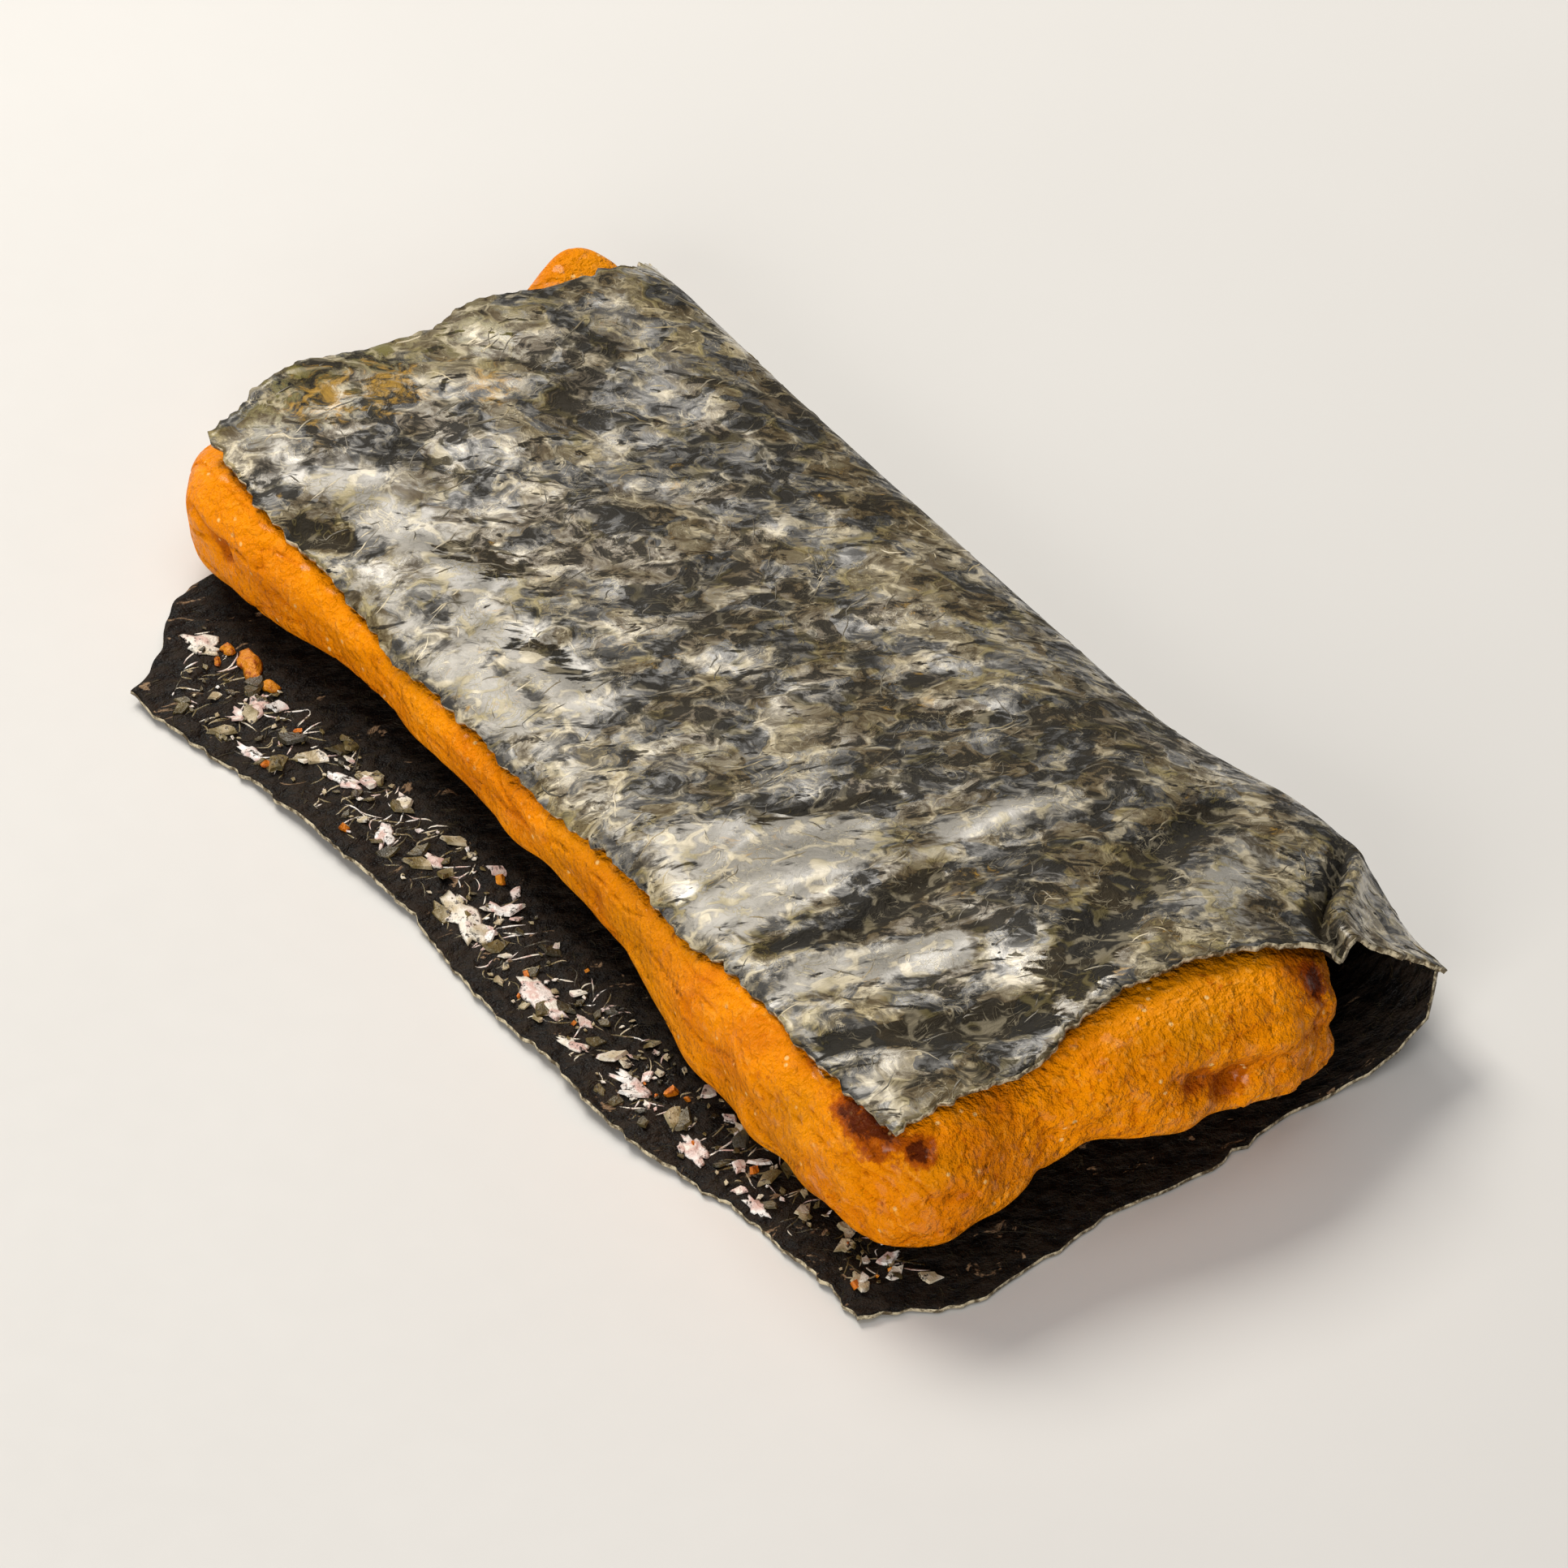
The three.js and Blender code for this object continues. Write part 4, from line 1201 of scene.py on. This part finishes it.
def flake_shader(start):
    places = object_mm(start)
    tone = attribute(start, "tone") + places.cloud(0.9, 1).step(0.3, 0.7) * 0.24 - 0.12
    # The white and pink stops are painted glints of the rough inside; the dark and tan stops are
    # the laver's colour.
    colour = tone.node("ShaderNodeValToRGB", {"stops": (
        (0.0, (0.03, 0.025, 0.012)), (0.4, (0.16, 0.12, 0.04)), (0.6, (0.50, 0.42, 0.27)),
        (0.78, (0.80, 0.77, 0.70)), (0.87, (0.60, 0.40, 0.36)), (1.0, (0.85, 0.84, 0.82)))},
        {"Fac": tone})
    worn = places.cloud(0.45, 4, 0.7)
    return {
        "Base Color": worn.step(0.54, 0.64).blend(colour, INSIDE_BROWN),
        "Roughness": places.cloud(0.4, 2) * 0.3 + 0.2,
        "Normal": worn.bump(0.15),
    }


def crumb_shader(start):
    places = object_mm(start)
    broken = places.cloud(0.45, 4, 0.65)
    colour = attribute(start, "tone").step(0.2, 0.9).blend(GLAZE_DEEP, GLAZE_YELLOW)
    colour = (broken.step(0.50, 0.64) * 0.8).blend(colour, BROWNED)
    colour = (places.cells(0.7).step(0.2, 0.1) * 0.7).blend(colour, GLAZE_PALE)
    return {
        "Base Color": colour,
        "Roughness": broken * 0.3 + 0.35,
        "Normal": broken.bump(0.25),
    }


def chip(name, sides, thickness, shape):
    """A small closed chip of length 1: a ragged ring of corners at two levels."""
    turns = np.arange(sides) * 2 * math.pi / sides
    waves = np.sin(turns * CHIP["quick"] + shape) * np.cos(turns * CHIP["slow"] + 2 * shape)
    ring = np.stack([CHIP["length"] * np.cos(turns), CHIP["width"] * np.sin(turns)], -1)
    ring = ring * (1 + CHIP["ragged"] * waves)[:, None] / 2
    bow = CHIP["bow"] * ring[:, 0] ** 2
    low = np.column_stack([ring, np.full(sides, -thickness)])
    high = np.column_stack([ring * CHIP["upper"], np.full(sides, thickness) + bow])
    top, bottom = np.arange(sides) + sides, np.arange(sides)[::-1]
    faces = [list(top), list(bottom)]
    faces += [[i, (i + 1) % sides, (i + 1) % sides + sides, i + sides] for i in range(sides)]
    mesh = bpy.data.meshes.new(name)
    mesh.from_pydata(np.concatenate([low, high]).tolist(), [], faces)
    return bpy.data.objects.new(name, mesh)


def grow_chips(name, form, material):
    """The piece of many such chips on the strip."""
    shape = chip(name + " chip", form["sides"], form["thickness"], form["shape"])
    return grow(name, scatter_nodes, ground_mesh(shown_strip), {
        "Shape": shape, "Density": form["density"] / MM ** 2,
        "Smallest": form["smallest"] * MM, "Largest": form["largest"] * MM,
        "Tilt": form["tilt"], "Seed": form["seed"], "Finish": material})


def strip_level(plan):
    """Height of the strip's nearest knot under each of these places."""
    knots = inner[-STRIP_STEPS:].reshape(-1, 3)
    away = np.linalg.norm(plan[:, None] - knots[None, :, :2], axis=-1)
    return knots[away.argmin(1), 2]


def scrap(ragged, index, x, y, length, width, height, turn):
    """A scrap lying on the strip: a low ragged dome closed by a base."""
    turns = np.arange(SCRAP_SIDES) * 2 * math.pi / SCRAP_SIDES
    round_it = np.stack([np.cos(turns), np.sin(turns)], -1)
    spots = np.column_stack([round_it * SCRAP_OUTLINE["radius"],
                             np.full(SCRAP_SIDES, SCRAP_OUTLINE["shift"] * index)])
    outline = 1 + ragged * wisps(spots, SCRAP_OUTLINE["size"])
    shares = np.arange(1, SCRAP_RINGS + 1)[:, None, None] / SCRAP_RINGS
    plan = (shares * round_it * outline[:, None]).reshape(-1, 2)
    plan = np.concatenate([[[0, 0]], plan, [[0, 0]]]) * (length / 2, width / 2)
    steps = np.array([0, *np.repeat(np.arange(1, SCRAP_RINGS + 1), SCRAP_SIDES), SCRAP_RINGS])
    domed = 1 - (steps / SCRAP_RINGS) ** 2
    crumpled = np.column_stack([plan, np.full(len(plan), CRUMPLE["shift"] * index)])
    crumpled = CRUMPLE["height"] * wisps(crumpled, CRUMPLE["size"])
    level = domed * height + mix(CRUMPLE["rim"], 1, domed) * crumpled
    level[-1] = SCRAP_BASE
    cos, sin = math.cos(turn), math.sin(turn)
    turned = plan @ np.array([[cos, sin], [-sin, cos]]) + (x, y)
    return np.column_stack([turned, level + SCRAP_LIFT + strip_level(turned)])


def scrap_faces():
    """Triangles round the middle, squares between the rings and triangles round the base."""
    side = np.arange(SCRAP_SIDES)
    following = (side + 1) % SCRAP_SIDES
    faces = [[0, 1 + a, 1 + b] for a, b in zip(side, following)]
    for ring in range(1, SCRAP_RINGS):
        inner_ring, outer_ring = 1 + (ring - 1) * SCRAP_SIDES, 1 + ring * SCRAP_SIDES
        faces += [[inner_ring + a, outer_ring + a, outer_ring + b, inner_ring + b]
                  for a, b in zip(side, following)]
    rim, base = 1 + (SCRAP_RINGS - 1) * SCRAP_SIDES, 1 + SCRAP_RINGS * SCRAP_SIDES
    return faces + [[rim + a, base, rim + b] for a, b in zip(side, following)]


def scraps(name, forms, ragged, material):
    """One piece of all these scraps on the strip, which is the lower flap past the cracker."""
    places = np.array([scrap(ragged, index, *form) for index, form in enumerate(forms)])
    count = places.shape[1]
    faces = [[corner + count * index for corner in face]
             for index in range(len(forms)) for face in scrap_faces()]
    piece = skin(name, places.reshape(-1, 3), faces)
    turns = np.arange(len(forms)) * SCRAP_TONES["pitch"]
    tones = mix(SCRAP_TONES["least"], 1, np.sin(turns) ** 2)
    give(piece, "tone", np.repeat(tones, count))
    piece.data.materials.append(material)
    return piece


# The rows run the other way here, so that the faces of this ground look up.
shown_strip = inner[STRIP_MARGIN - STRIP_STEPS:-STRIP_MARGIN, SIDE_MARGIN:-SIDE_MARGIN][::-1]
flake_finish = finish("laver flake", flake_shader)
crumb_finish = finish("crust crumb", crumb_shader)
scatter_nodes = scatter_group()

flakes = grow_chips("laver_flakes", FLAKES, flake_finish)
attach(flakes, "root")

strip_fibres = grow_fibres("strip_fibres", shown_strip, STRIP_FIBRES["density"],
                           STRIP_FIBRES["longest"], STRIP_FIBRES["sway"], flake_finish)
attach(strip_fibres, "root")

crumbs = grow_chips("crust_crumbs", CRUMBS, crumb_finish)
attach(crumbs, "root")

# The scraps are mostly white and pink: painted glints of the rough inside.
torn_scraps = scraps("torn_scraps", SCRAPS, TORN, flake_finish)
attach(torn_scraps, "root")

large_crumbs = scraps("large_crumbs", LARGE_CRUMBS, ROUNDED, crumb_finish)
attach(large_crumbs, "root")

# ---- Floor, light and camera ----
# The part lies on a plain pale table, lit by one wide soft window behind it and a little
# light from above and from the front.


def table_shader(start):
    places = object_mm(start)
    return {
        "Base Color": places.cloud(30, 3).blend((0.60, 0.595, 0.59), (0.64, 0.637, 0.634)),
        "Roughness": places.cloud(2, 2) * 0.1 + 0.55,
    }


def direction(azimuth, elevation):
    """The way from the part at this azimuth and elevation in degrees, of length 1."""
    turn, rise = math.radians(azimuth), math.radians(elevation)
    return Vector((math.sin(turn) * math.cos(rise), -math.cos(turn) * math.cos(rise),
                   math.sin(rise)))


def softbox(name, azimuth, elevation, distance, size, power, colour):
    """A square light that faces the part from this direction, in degrees and metres."""
    data = bpy.data.lights.new(name, "AREA")
    data.size = size
    data.energy = power
    data.color = colour
    lamp = bpy.data.objects.new(name, data)
    lamp.location = direction(azimuth, elevation) * distance
    lamp.rotation_euler = lamp.location.to_track_quat("Z", "Y").to_euler()
    lamp.visible_camera = False
    bpy.context.scene.collection.objects.link(lamp)


bpy.ops.mesh.primitive_plane_add(size=4)
table = bpy.context.object
table.name = "table"
table.data.materials.append(finish("pale table", table_shader))

softbox("window", 271, 48, 0.5, 0.22, 2.3, (1, 0.945, 0.85))
softbox("far window", 240, 46, 0.5, 0.12, 0.3, (1, 0.96, 0.90))
softbox("ceiling", 60, 85, 0.6, 0.5, 0.9, (1, 0.97, 0.93))
softbox("front fill", 36, 20, 0.8, 0.5, 4.4, (1, 0.95, 0.88))

world = bpy.data.worlds.new("studio")
world.use_nodes = True
world.node_tree.nodes["Background"].inputs["Color"].default_value = (0.96, 0.97, 1, 1)
world.node_tree.nodes["Background"].inputs["Strength"].default_value = 0.15
bpy.context.scene.world = world
bpy.context.scene.view_settings.view_transform = "Standard"

VIEW_AZIMUTH = 57
VIEW_ELEVATION = 41
VIEW_DISTANCE = 0.612
VIEW_WIDTH_DEGREES = 7.29

camera_data = bpy.data.cameras.new("camera")
camera_data.angle = math.radians(VIEW_WIDTH_DEGREES)
camera = bpy.data.objects.new("camera", camera_data)
target = Vector((TO_ROW + (0, 0, 5)) * MM)
camera.location = target + direction(VIEW_AZIMUTH, VIEW_ELEVATION) * VIEW_DISTANCE
camera.rotation_euler = (camera.location - target).to_track_quat("Z", "Y").to_euler()
bpy.context.scene.collection.objects.link(camera)
bpy.context.scene.camera = camera
